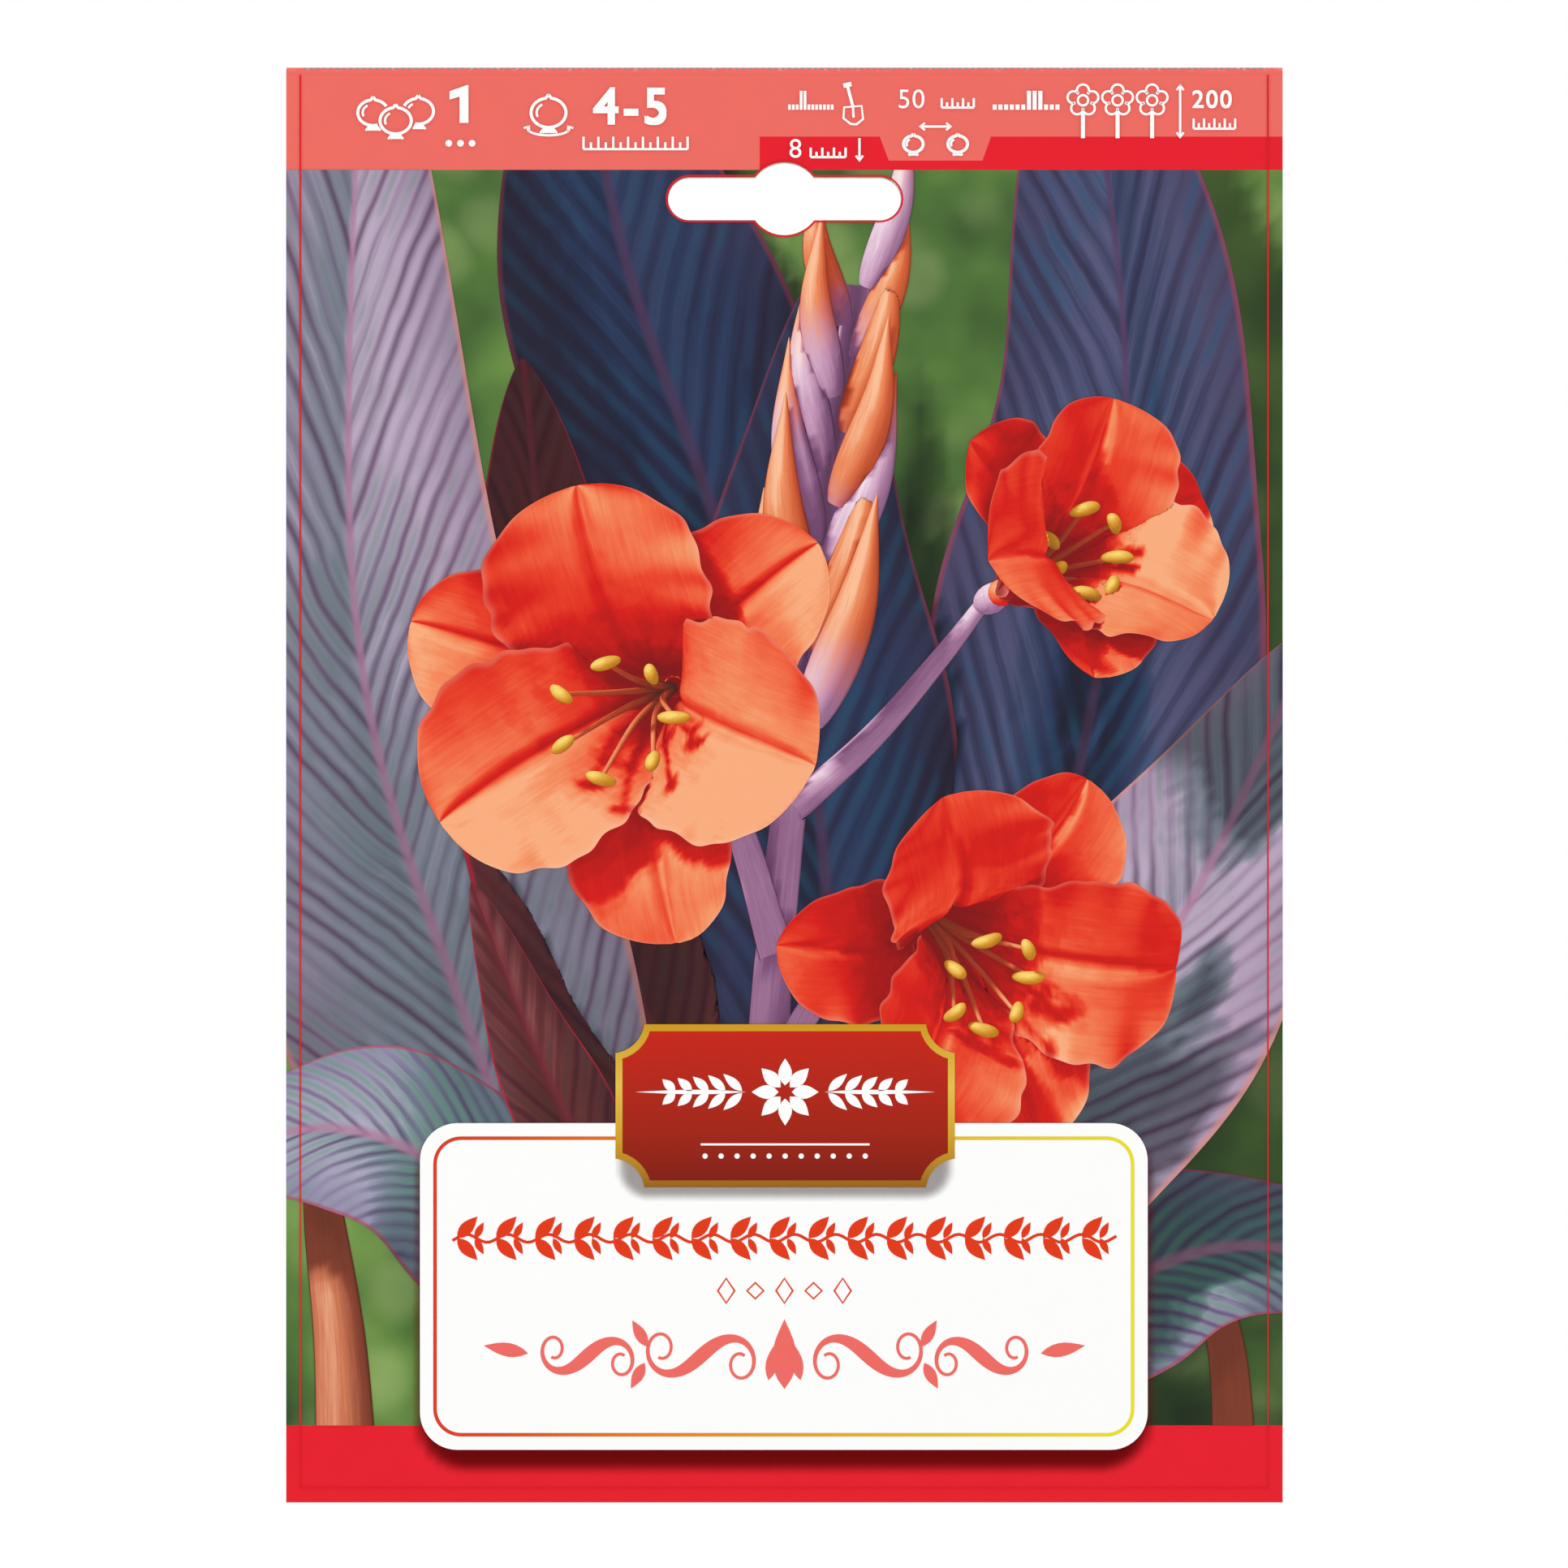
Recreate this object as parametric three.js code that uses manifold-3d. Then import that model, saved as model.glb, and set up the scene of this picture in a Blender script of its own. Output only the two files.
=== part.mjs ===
// Flower bulb packet: a printed hang card, folded over the header of a clear film bag that
// holds one canna rhizome bedded in wood shavings. Hot-melt strips fix the header between
// the card's front leaf and its back flap, and one euro slot is punched through all three.
//
// Millimetres. +Z up, front of the card towards -Y, origin at the centre of the euro slot,
// midway through the folded header.
import * as THREE from "three";
import { mergeVertices } from "three/addons/utils/BufferGeometryUtils.js";
import Module from "manifold-3d";

const wasm = await Module();
wasm.setup();

// ---------------------------------------------------------------- driving dimensions
const BOARD = 0.5; // folding boxboard
const FILM = 0.3; // one wall of the film bag
const GLUE = 0.3; // hot-melt strip
const CLEARANCE = 0.5; // between the contents and the film
const SEAT = 0.4; // between the rhizome and the shavings round it

// Heights are measured from the centre of the euro slot.
const CARD = { width: 136.9, top: 18.1, bottom: -179.1, flapBottom: -31.9, foldSteps: 16 };
const SLOT = { length: 32, height: 5.9, eyeRadius: 5, arcSteps: 14 };
const STRIP = { width: 104, bands: { upper: [7.5, 12.5], lower: [-27, -13] } };
const BAG = { width: 124, top: 14.5, bottom: -173, cornerRadius: 5 };

// The belly is where the bag's back wall stands out round its contents. It is fullest
// a quarter of the way up: sag bends its profile downwards, and shoulder squares it across.
const BELLY = {
  halfWidth: 57, top: -36, bottom: -168, depth: 34, sag: 0.52, shoulder: 3, columns: 24, rows: 26,
};
const VENT = { radius: 3, sides: 16, columns: [-30, 0, 30], rows: [-62, -84] };

// Each limb runs through its points. Its knuckle gives the full radius, the shares of it
// that its start and end keep, and how many leaf scars ring it.
const RHIZOME = {
  stock: {
    points: [[-42, 10, -137], [-22, 13.5, -143], [0, 15.3, -143], [21, 14, -139], [38, 10.5, -131]],
    knuckle: { full: 12.6, start: 0.55, end: 0.6, scars: 11 },
    rings: 38,
    sides: 14,
  },
  youngKnuckle: {
    points: [[-9, 16, -141], [-15, 16.5, -128], [-21, 15.5, -114]],
    knuckle: { full: 9.3, start: 0.9, end: 0.72, scars: 5 },
    rings: 16,
    sides: 12,
  },
  stemKnuckle: {
    points: [[13, 15.5, -139], [18, 16, -126], [22, 15.5, -112]],
    knuckle: { full: 8.8, start: 0.9, end: 0.8, scars: 5 },
    rings: 16,
    sides: 12,
  },
  oldStem: { points: [[21, 15.6, -116], [23, 15, -106], [25, 14, -97]], radius: 5.2, rings: 4, sides: 12 },
  eyes: [
    { points: [[-20, 15.6, -116], [-22.5, 14.6, -106.7], [-25, 13.5, -99]], radius: 4.6 },
    { points: [[36, 10.8, -132], [40.5, 9.4, -124.7], [45, 8, -119]], radius: 4.4 },
    { points: [[-40, 10.3, -138], [-43.5, 8.9, -131.7], [-47, 7.5, -127]], radius: 3.8 },
  ],
  eyeRings: 7,
  eyeSides: 10,
  roots: { count: 10, radius: 1.1, reach: 15, lean: 7, bow: 1, rings: 3, sides: 6, seed: 5 },
};

// The bed fills the front share of the belly, which leaves the rhizome showing behind it.
const SHAVINGS = {
  front: 0.35, // behind the middle of the film
  top: -98,
  slope: 18, // height over which the bed's top thins out
  share: 0.5,
  inset: 4, // from the belly's rim
  leastDepth: 1.2,
  columns: 16,
  rows: 12,
  curls: { count: 44, inset: 10, sunk: 0.5, thickness: 0.8, steps: 5, seed: 11 },
  curlWidth: [4, 8],
  curlRadius: [3, 5.5],
  curlSweep: [2.2, 4.6],
};

// The header's layers, from the middle of the film outwards.
const filmFace = FILM; // both walls together, each FILM thick
const innerFace = filmFace + GLUE;
const outerFace = innerFace + BOARD;

// ---------------------------------------------------------------- colours and finishes
const finish = (color, roughness, extra = {}) =>
  new THREE.MeshStandardMaterial({ color, roughness, metalness: 0, ...extra });
const FINISHES = {
  card: finish(0xee6d63, 0.5),
  film: finish(0xeef3f6, 0.12, { transparent: true, opacity: 0.3 }),
  glue: finish(0xe8e2cf, 0.6),
  rhizome: finish(0x8a5f3c, 0.85),
  shavings: finish(0xdcc097, 0.9),
};

// ---------------------------------------------------------------- solids
/** A manifold-3d solid from a closed three.js geometry. */
function solidOf(geometry) {
  const bare = new THREE.BufferGeometry();
  bare.setAttribute("position", geometry.getAttribute("position"));
  bare.setIndex(geometry.index);
  const merged = mergeVertices(bare, 1e-4);
  return new wasm.Manifold(
    new wasm.Mesh({
      numProp: 3,
      vertProperties: merged.attributes.position.array,
      triVerts: new Uint32Array(merged.index.array),
    }),
  );
}

/** A manifold-3d solid from a list of coordinates and the triangles between the points. */
function meshSolid(positions, triangles) {
  const geometry = new THREE.BufferGeometry();
  geometry.setAttribute("position", new THREE.Float32BufferAttribute(positions, 3));
  geometry.setIndex(triangles);
  return solidOf(geometry);
}

/** A three.js geometry from a manifold-3d solid. */
function geometryOf(solid) {
  const { vertProperties, triVerts } = solid.getMesh();
  const geometry = new THREE.BufferGeometry();
  geometry.setAttribute("position", new THREE.BufferAttribute(vertProperties, 3));
  geometry.setIndex(new THREE.BufferAttribute(triVerts, 1));
  geometry.computeVertexNormals();
  return geometry;
}

/** All the solids joined in one. */
const joined = (solids) => solids.reduce((whole, solid) => whole.add(solid));

/** The largest of the bodies that a cut leaves. */
const largestBody = (solid) =>
  solid.decompose().reduce((best, body) => (body.volume() > best.volume() ? body : best));

/** A repeatable draw of numbers between 0 and 1. */
function draws(seed) {
  let state = seed >>> 0;
  return () => {
    state = (Math.imul(state, 1664525) + 1013904223) >>> 0;
    return state / 2 ** 32;
  };
}

/** A plate: an outline drawn in X and Z, between two distances along Y. */
function plate(outline, yFront, yBack, curveSegments = SLOT.arcSteps) {
  const depth = yBack - yFront;
  const geometry = new THREE.ExtrudeGeometry(outline, { depth, bevelEnabled: false, curveSegments });
  geometry.rotateX(Math.PI / 2).translate(0, yBack, 0);
  return solidOf(geometry);
}

/** A rectangle, drawn in X and Z, with its two lower corners rounded if a radius is given. */
function panelOutline(width, bottom, top, radius = 0) {
  const half = width / 2;
  const outline = new THREE.Shape();
  outline.moveTo(half, top);
  outline.lineTo(-half, top);
  if (radius > 0) {
    outline.absarc(-half + radius, bottom + radius, radius, Math.PI, 1.5 * Math.PI, false);
    outline.absarc(half - radius, bottom + radius, radius, 1.5 * Math.PI, 2 * Math.PI, false);
  } else {
    outline.lineTo(-half, bottom);
    outline.lineTo(half, bottom);
  }
  return outline;
}

/** The punch for the euro slot: a long slot with round ends, and a round eye at its middle. */
function slotPunch() {
  const reach = outerFace + 1;
  const half = SLOT.height / 2;
  const straight = SLOT.length / 2 - half;
  const slot = new THREE.Shape();
  slot.absarc(-straight, 0, half, Math.PI / 2, 1.5 * Math.PI, false);
  slot.absarc(straight, 0, half, -Math.PI / 2, Math.PI / 2, false);
  const eye = new THREE.Shape();
  eye.absarc(0, 0, SLOT.eyeRadius, 0, 2 * Math.PI, false);
  return plate(slot, -reach, reach).add(plate(eye, -reach, reach, 2 * SLOT.arcSteps));
}

// ---------------------------------------------------------------- hang card
/** Front leaf, rolled fold and back flap: one strip of board, drawn as seen from its end. */
function cardSolid() {
  const foldZ = CARD.top - outerFace;
  const end = new THREE.Shape();
  end.moveTo(-outerFace, CARD.bottom);
  end.lineTo(-outerFace, foldZ);
  end.absarc(0, foldZ, outerFace, Math.PI, 0, true);
  end.lineTo(outerFace, CARD.flapBottom);
  end.lineTo(innerFace, CARD.flapBottom);
  end.lineTo(innerFace, foldZ);
  end.absarc(0, foldZ, innerFace, 0, Math.PI, false);
  end.lineTo(-innerFace, CARD.bottom);
  const geometry = new THREE.ExtrudeGeometry(end, {
    depth: CARD.width,
    bevelEnabled: false,
    curveSegments: CARD.foldSteps,
  });
  // The end's X and Y become the card's Y and Z, and the extrusion runs along X.
  geometry.applyMatrix4(new THREE.Matrix4().set(0, 0, 1, 0, 1, 0, 0, 0, 0, 1, 0, 0, 0, 0, 0, 1));
  geometry.translate(-CARD.width / 2, 0, 0);
  return solidOf(geometry).subtract(slotPunch());
}

/** One hot-melt strip, between two distances along Y. */
function glueSolid([bottom, top], yFront, yBack) {
  return plate(panelOutline(STRIP.width, bottom, top), yFront, yBack);
}

// ---------------------------------------------------------------- film bag
/** The belly's limits once it is drawn in by shrink, which moves its rim in by twice that. */
const bellyLimits = (shrink) => ({
  halfWidth: BELLY.halfWidth - 2 * shrink,
  top: BELLY.top - 2 * shrink,
  bottom: BELLY.bottom + 2 * shrink,
  depth: BELLY.depth - shrink,
});

/** How far the belly drawn in by shrink stands out at x, z. */
function bellyDepth(x, z, shrink = 0) {
  const { halfWidth, top, bottom, depth } = bellyLimits(shrink);
  const across = Math.abs(x) / halfWidth;
  const up = (z - bottom) / (top - bottom);
  if (across >= 1 || up <= 0 || up >= 1) return 0;
  return depth * Math.sin(Math.PI * up ** BELLY.sag) * (1 - across ** BELLY.shoulder);
}

/** A belly: flat on the plane y = 0 and domed behind it, closed along its rim. */
function bellySolid(shrink, columns = BELLY.columns, rows = BELLY.rows) {
  const { halfWidth, top, bottom } = bellyLimits(shrink);
  const positions = [];
  for (let j = 0; j <= rows; j++) {
    for (let i = 0; i <= columns; i++) {
      const x = THREE.MathUtils.lerp(-halfWidth, halfWidth, i / columns);
      const z = THREE.MathUtils.lerp(bottom, top, j / rows);
      const onRim = i === 0 || j === 0 || i === columns || j === rows;
      positions.push(x, onRim ? 0 : bellyDepth(x, z, shrink), z);
    }
  }
  const at = (i, j) => j * (columns + 1) + i;
  const hub = positions.length / 3;
  positions.push(0, 0, (bottom + top) / 2);
  const triangles = [];
  for (let j = 0; j < rows; j++) {
    for (let i = 0; i < columns; i++) {
      const quad = [at(i, j), at(i + 1, j), at(i + 1, j + 1), at(i, j + 1)];
      // Each quad is cut from its outer corner to its inner one, so that no face lies in the rim.
      const outerFirst = i < columns / 2 === j < rows / 2;
      const [a, b, c, d] = outerFirst ? quad : [quad[1], quad[2], quad[3], quad[0]];
      triangles.push(a, c, b, a, d, c);
    }
  }
  for (let i = 0; i < columns; i++) {
    triangles.push(hub, at(i, 0), at(i + 1, 0), hub, at(i + 1, rows), at(i, rows));
  }
  for (let j = 0; j < rows; j++) {
    triangles.push(hub, at(columns, j), at(columns, j + 1), hub, at(0, j + 1), at(0, j));
  }
  return meshSolid(positions, triangles);
}

/** The round holes that let the rhizome breathe, through the back wall alone. */
function ventPunches() {
  const places = VENT.rows.flatMap((z) => VENT.columns.map((x) => [x, z]));
  return places.map(([x, z]) => {
    const behindFront = 1;
    const reach = bellyDepth(x, z) + 2 * VENT.radius;
    const punch = new THREE.CylinderGeometry(VENT.radius, VENT.radius, reach, VENT.sides);
    return solidOf(punch.translate(x, behindFront + reach / 2, z));
  });
}

/** Two walls welded along the sides and the bottom, with the header left flat. */
function bagSolid() {
  const outline = panelOutline(BAG.width, BAG.bottom, BAG.top, BAG.cornerRadius);
  const walls = plate(outline, -filmFace, filmFace).add(bellySolid(0));
  const holes = joined([bellySolid(FILM), slotPunch(), ...ventPunches()]);
  return walls.subtract(holes);
}

// ---------------------------------------------------------------- rhizome
const curveThrough = (points) =>
  new THREE.CatmullRomCurve3(points.map((point) => new THREE.Vector3(...point)));

/** A round limb along a curve, closed at both ends, with its radius given by share and angle. */
function limb({ points, rings, sides }, radiusAt) {
  const curve = curveThrough(points);
  const { normals, binormals } = curve.computeFrenetFrames(rings, false);
  const positions = [...curve.getPoint(0)];
  for (let i = 0; i <= rings; i++) {
    const share = i / rings;
    const centre = curve.getPoint(share);
    for (let k = 0; k < sides; k++) {
      const angle = (2 * Math.PI * k) / sides;
      const spoke = normals[i].clone().multiplyScalar(Math.cos(angle));
      spoke.addScaledVector(binormals[i], Math.sin(angle));
      positions.push(...centre.clone().addScaledVector(spoke, radiusAt(share, angle)));
    }
  }
  positions.push(...curve.getPoint(1));
  const last = positions.length / 3 - 1;
  const at = (i, k) => 1 + i * sides + (k % sides);
  const triangles = [];
  for (let k = 0; k < sides; k++) {
    triangles.push(0, at(0, k + 1), at(0, k), last, at(rings, k), at(rings, k + 1));
    for (let i = 0; i < rings; i++) {
      triangles.push(at(i, k), at(i, k + 1), at(i + 1, k + 1), at(i, k), at(i + 1, k + 1), at(i + 1, k));
    }
  }
  return meshSolid(positions, triangles);
}

/** A limb's radius: full at its middle, blunt at its ends, a little lumpy, ringed by scars. */
function knuckleRadius({ full, start, end, scars }, share, angle) {
  const past = Math.max(0, 2 * share - 1);
  const swell = start + (1 - start) * Math.sin(Math.PI * Math.min(share, 0.5));
  const taper = end + (1 - end) * Math.cos((Math.PI / 2) * past);
  const blunt = Math.sqrt(Math.max(0.08, 1 - Math.abs(2 * share - 1) ** 14));
  const scar = 0.97 + 0.045 * Math.sqrt(Math.abs(Math.sin(Math.PI * scars * share)));
  const lump = 1 + 0.035 * Math.sin(2 * angle + 9 * share) + 0.025 * Math.sin(3 * angle - 5 * share);
  return full * swell * taper * blunt * scar * lump;
}

/** An eye's radius: an ovoid that comes to a point. */
const eyeRadius = (radius, share) => radius * (Math.sqrt(1 - share) * (0.85 + 0.35 * share) + 0.06);

/** Short root stubs on the underside of the stock. */
function rootSolids(grow) {
  const { count, radius, reach, lean, bow, rings, sides, seed } = RHIZOME.roots;
  const draw = draws(seed);
  const stock = curveThrough(RHIZOME.stock.points);
  return Array.from({ length: count }, (_, i) => {
    const seat = stock.getPoint((i + 0.8) / (count + 0.6));
    const tip = seat.clone().add(new THREE.Vector3((draw() - 0.5) * lean, (draw() - 0.7) * lean, -reach));
    const elbow = seat.clone().lerp(tip, 0.6).add(new THREE.Vector3(0, -bow, 0));
    const points = [seat, elbow, tip].map((point) => point.toArray());
    return limb({ points, rings, sides }, (share) => (radius + grow) * (1 - 0.45 * share));
  });
}

/** The whole rhizome, with every surface moved out by grow. */
function rhizomeSolid(grow = 0) {
  const { stock, youngKnuckle, stemKnuckle, oldStem, eyes, eyeRings, eyeSides } = RHIZOME;
  const knuckles = [stock, youngKnuckle, stemKnuckle].map((piece) =>
    limb(piece, (share, angle) => knuckleRadius(piece.knuckle, share, angle) + grow),
  );
  const stem = limb(oldStem, () => oldStem.radius + grow);
  const buds = eyes.map(({ points, radius }) =>
    limb({ points, rings: eyeRings, sides: eyeSides }, (share) => eyeRadius(radius + grow, share)),
  );
  return joined([...knuckles, stem, ...buds, ...rootSolids(grow)]);
}

// ---------------------------------------------------------------- wood shavings
/** The bed's uneven surface at x, z: its distance behind the front wall. */
function bedDepth(x, z) {
  const { top, slope, share, leastDepth } = SHAVINGS;
  const ripple = 1 + 0.1 * Math.sin(x * 0.31 + z * 0.17) + 0.07 * Math.sin(x * 0.13 - z * 0.41);
  const settled = THREE.MathUtils.smoothstep(top - z + 3 * Math.sin(x * 0.12), 0, slope);
  return Math.max(leastDepth, bellyDepth(x, z, CLEARANCE) * share * ripple * settled);
}

/** The packed core of the bed, from the front wall to its uneven surface. */
function bedSolid() {
  const { columns, rows, front, inset, top } = SHAVINGS;
  const halfWidth = BELLY.halfWidth - inset;
  const bottom = BELLY.bottom + inset;
  const positions = [];
  for (let j = 0; j <= rows; j++) {
    for (let i = 0; i <= columns; i++) {
      const x = THREE.MathUtils.lerp(-halfWidth, halfWidth, i / columns);
      const z = THREE.MathUtils.lerp(bottom, top, j / rows);
      positions.push(x, bedDepth(x, z), z, x, front, z);
    }
  }
  const triangles = [];
  const at = (i, j, side) => 2 * (j * (columns + 1) + i) + side;
  const quad = (a, b, c, d) => triangles.push(a, b, c, a, c, d);
  for (let j = 0; j < rows; j++) {
    for (let i = 0; i < columns; i++) {
      quad(at(i, j, 0), at(i, j + 1, 0), at(i + 1, j + 1, 0), at(i + 1, j, 0));
      quad(at(i, j, 1), at(i + 1, j, 1), at(i + 1, j + 1, 1), at(i, j + 1, 1));
    }
  }
  for (let i = 0; i < columns; i++) {
    quad(at(i, 0, 0), at(i + 1, 0, 0), at(i + 1, 0, 1), at(i, 0, 1));
    quad(at(i, rows, 0), at(i, rows, 1), at(i + 1, rows, 1), at(i + 1, rows, 0));
  }
  for (let j = 0; j < rows; j++) {
    quad(at(0, j, 0), at(0, j, 1), at(0, j + 1, 1), at(0, j + 1, 0));
    quad(at(columns, j, 0), at(columns, j + 1, 0), at(columns, j + 1, 1), at(columns, j, 1));
  }
  return meshSolid(positions, triangles);
}

/** One curled shaving: a strip rolled round its own axis. */
function curlGeometry(radius, width, sweep) {
  const { thickness, steps } = SHAVINGS.curls;
  const strip = new THREE.Shape();
  strip.absarc(0, 0, radius + thickness, 0, sweep, false);
  strip.absarc(0, 0, radius, sweep, 0, true);
  const curl = new THREE.ExtrudeGeometry(strip, { depth: width, bevelEnabled: false, curveSegments: steps });
  return curl.translate(-radius, 0, -width / 2);
}

/** Shavings rooted in the bed's surface, each turned its own way. */
function curlSolids() {
  const { curlRadius, curlWidth, curlSweep, curls, top } = SHAVINGS;
  const draw = draws(curls.seed);
  const between = ([low, high]) => THREE.MathUtils.lerp(low, high, draw());
  const halfWidth = BELLY.halfWidth - curls.inset;
  const bottom = BELLY.bottom + curls.inset;
  return Array.from({ length: curls.count }, () => {
    const geometry = curlGeometry(between(curlRadius), between(curlWidth), between(curlSweep));
    const turn = new THREE.Euler(...[draw(), draw(), draw()].map((share) => 2 * Math.PI * share));
    const x = between([-halfWidth, halfWidth]);
    const z = between([bottom, top]);
    const seat = new THREE.Vector3(x, bedDepth(x, z) - curls.sunk, z);
    geometry.applyMatrix4(new THREE.Matrix4().makeRotationFromEuler(turn).setPosition(seat));
    return solidOf(geometry);
  });
}

/** The bed and its curls, kept inside the bag and clear of the rhizome. */
function shavingsSolid() {
  const room = panelOutline(2 * BELLY.halfWidth, BELLY.bottom, BELLY.top);
  const behindFront = plate(room, SHAVINGS.front, BELLY.depth);
  const inside = bellySolid(FILM + CLEARANCE).intersect(behindFront);
  const bed = joined([bedSolid(), ...curlSolids()]);
  return largestBody(bed.intersect(inside).subtract(rhizomeSolid(SEAT)));
}

// ---------------------------------------------------------------- the packet
const packet = new THREE.Group();

function addPiece(name, solid, material) {
  const mesh = new THREE.Mesh(geometryOf(solid), material);
  mesh.name = name;
  packet.add(mesh);
}

addPiece("card", cardSolid(), FINISHES.card);
addPiece("film_bag", bagSolid(), FINISHES.film);
for (const [place, band] of Object.entries(STRIP.bands)) {
  addPiece(`glue_front_${place}`, glueSolid(band, -innerFace, -filmFace), FINISHES.glue);
  addPiece(`glue_back_${place}`, glueSolid(band, filmFace, innerFace), FINISHES.glue);
}
addPiece("rhizome", rhizomeSolid(), FINISHES.rhizome);
addPiece("wood_shavings", shavingsSolid(), FINISHES.shavings);

export default packet;
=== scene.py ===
"""Dresses the flower bulb packet: a printed hang card, its clear film bag and the bag's filling.

Sizes are in millimetres, from the centre of the card's hang slot, and each mesh is turned into
metres as its last step. The print is drawn flat, x to the right, y up and z out of the card, and
is then stood up against the card's front.
"""

import sys

import logging
import math
import random
from dataclasses import dataclass, field
from enum import Enum
from typing import Callable, Sequence

import bmesh
import bpy
import numpy as np
from mathutils import Matrix, Vector, noise
from mathutils.bvhtree import BVHTree


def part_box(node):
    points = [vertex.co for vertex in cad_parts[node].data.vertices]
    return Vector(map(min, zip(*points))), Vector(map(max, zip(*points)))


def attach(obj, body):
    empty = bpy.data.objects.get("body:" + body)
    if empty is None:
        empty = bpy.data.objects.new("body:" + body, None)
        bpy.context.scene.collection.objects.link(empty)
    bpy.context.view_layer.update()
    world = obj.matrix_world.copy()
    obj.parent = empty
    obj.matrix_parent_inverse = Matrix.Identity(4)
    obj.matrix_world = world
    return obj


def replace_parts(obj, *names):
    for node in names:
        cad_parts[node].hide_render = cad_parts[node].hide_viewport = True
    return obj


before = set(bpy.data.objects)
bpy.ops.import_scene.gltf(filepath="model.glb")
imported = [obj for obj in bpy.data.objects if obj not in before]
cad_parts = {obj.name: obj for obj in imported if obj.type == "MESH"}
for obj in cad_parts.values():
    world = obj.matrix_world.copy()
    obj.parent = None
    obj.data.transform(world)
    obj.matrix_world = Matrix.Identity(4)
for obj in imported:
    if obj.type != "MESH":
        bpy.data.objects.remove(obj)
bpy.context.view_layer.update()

LOG = logging.getLogger("packet")
MM = 0.001
TAU = 2 * math.pi

Array = np.ndarray
Mesh = bmesh.types.BMesh
Material = bpy.types.Material
Colour = tuple[float, float, float, float]
Stops = tuple[tuple[float, Colour], ...]
Place = tuple[float, float, float]
Path = list[tuple[float, float]]
Pair = tuple[Array, Array]
Feed = object


def ink(red: int, green: int, blue: int) -> Colour:
    """Turns a display colour into the linear one that shaders use.

    Args:
        red: Red from 0 to 255.
        green: Green from 0 to 255.
        blue: Blue from 0 to 255.

    Returns:
        The linear colour with full alpha.
    """
    shares = [value / 255 for value in (red, green, blue)]
    linear = [s / 12.92 if s <= 0.04045 else ((s + 0.055) / 1.055) ** 2.4 for s in shares]
    return (*linear, 1.0)


def shades(*rows: tuple[float, int, int, int]) -> Stops:
    """A row of colours, each given as its place in the row and its display colour."""
    return tuple((place, ink(*colour)) for place, *colour in rows)


WHITE = ink(253, 253, 252)
CORAL = ink(239, 108, 98)
BAND_RED = ink(232, 24, 41)
KEYLINE_RED = ink(222, 20, 30)
HEADING_ORANGE = ink(228, 55, 12)
SCORE_GREY = ink(134, 130, 142)
BOARD = ink(228, 224, 215)
DEEP_SHADE = ink(16, 8, 20)


# ---- sizes


@dataclass(frozen=True)
class Box:
    """An upright rectangle on the card."""

    left: float
    right: float
    bottom: float
    top: float

    @property
    def middle(self) -> tuple[float, float]:
        """Its centre."""
        return (self.left + self.right) / 2, (self.bottom + self.top) / 2

    @property
    def size(self) -> tuple[float, float]:
        """Its width and its height."""
        return self.right - self.left, self.top - self.bottom

    def grown(self, left: float, right: float, bottom: float, top: float) -> "Box":
        """The rectangle with each side moved outwards by its own distance."""
        return Box(self.left - left, self.right + right, self.bottom - bottom, self.top + top)


@dataclass(frozen=True)
class CardSizes:
    """The card and the zones of its print."""

    left: float
    right: float
    bottom: float
    top: float
    front: float
    fold_height: float = 17.0
    outer_face: float = 1.07
    slot_length: float = 32.0
    slot_height: float = 5.9
    slot_margin: float = 0.02
    eye_radius: float = 5.0
    header_bottom: float = 3.96
    band_left: float = -3.4
    band_top: float = 8.53
    foot_top: float = -168.51

    @classmethod
    def from_frame(cls) -> "CardSizes":
        """Reads the card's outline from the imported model."""
        low, high = (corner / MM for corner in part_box("card"))
        return cls(left=low.x, right=high.x, bottom=low.z, top=high.z, front=low.y)

    def zone(self, bottom: float, top: float) -> Box:
        """A stretch of the card over its full width."""
        return Box(self.left, self.right, bottom, top)


CARD = CardSizes.from_frame()


@dataclass(frozen=True)
class Lifts:
    """How far each layer of the print stands out of the card."""

    picture: float = 0.03
    squeeze: float = 0.0018
    areas: float = 0.03
    keylines: float = 0.23
    shadow: float = 0.24
    panel: float = 0.26
    lines: float = 0.275
    badge_shadow: float = 0.28
    marks: float = 0.285
    badge: float = 0.3
    step: float = 0.01


LIFT = Lifts()


# ---- materials


def arithmetic(operation: str, swapped: bool = False) -> Callable[..., "Field"]:
    """Makes one of a field's operators.

    Args:
        operation: The Math node's operation.
        swapped: Whether the other value comes first.

    Returns:
        The method that adds the node.
    """

    def method(own: "Field", *other: Feed) -> "Field":
        """Adds the Math node."""
        return own.graph.math(operation, *((*other, own) if swapped else (own, *other)))

    return method


class Field:
    """A result in a finish's node tree. Plain arithmetic on it adds Math nodes."""

    __add__ = __radd__ = arithmetic("ADD")
    __sub__, __rsub__ = arithmetic("SUBTRACT"), arithmetic("SUBTRACT", swapped=True)
    __mul__ = __rmul__ = arithmetic("MULTIPLY")
    __truediv__, __pow__ = arithmetic("DIVIDE"), arithmetic("POWER")
    __gt__, __lt__ = arithmetic("GREATER_THAN"), arithmetic("LESS_THAN")
    __abs__ = arithmetic("ABSOLUTE")

    def __init__(self, graph: "Graph", socket: bpy.types.NodeSocket) -> None:
        """Keeps the socket and the tree it belongs to."""
        self.graph = graph
        self.socket = socket


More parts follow.
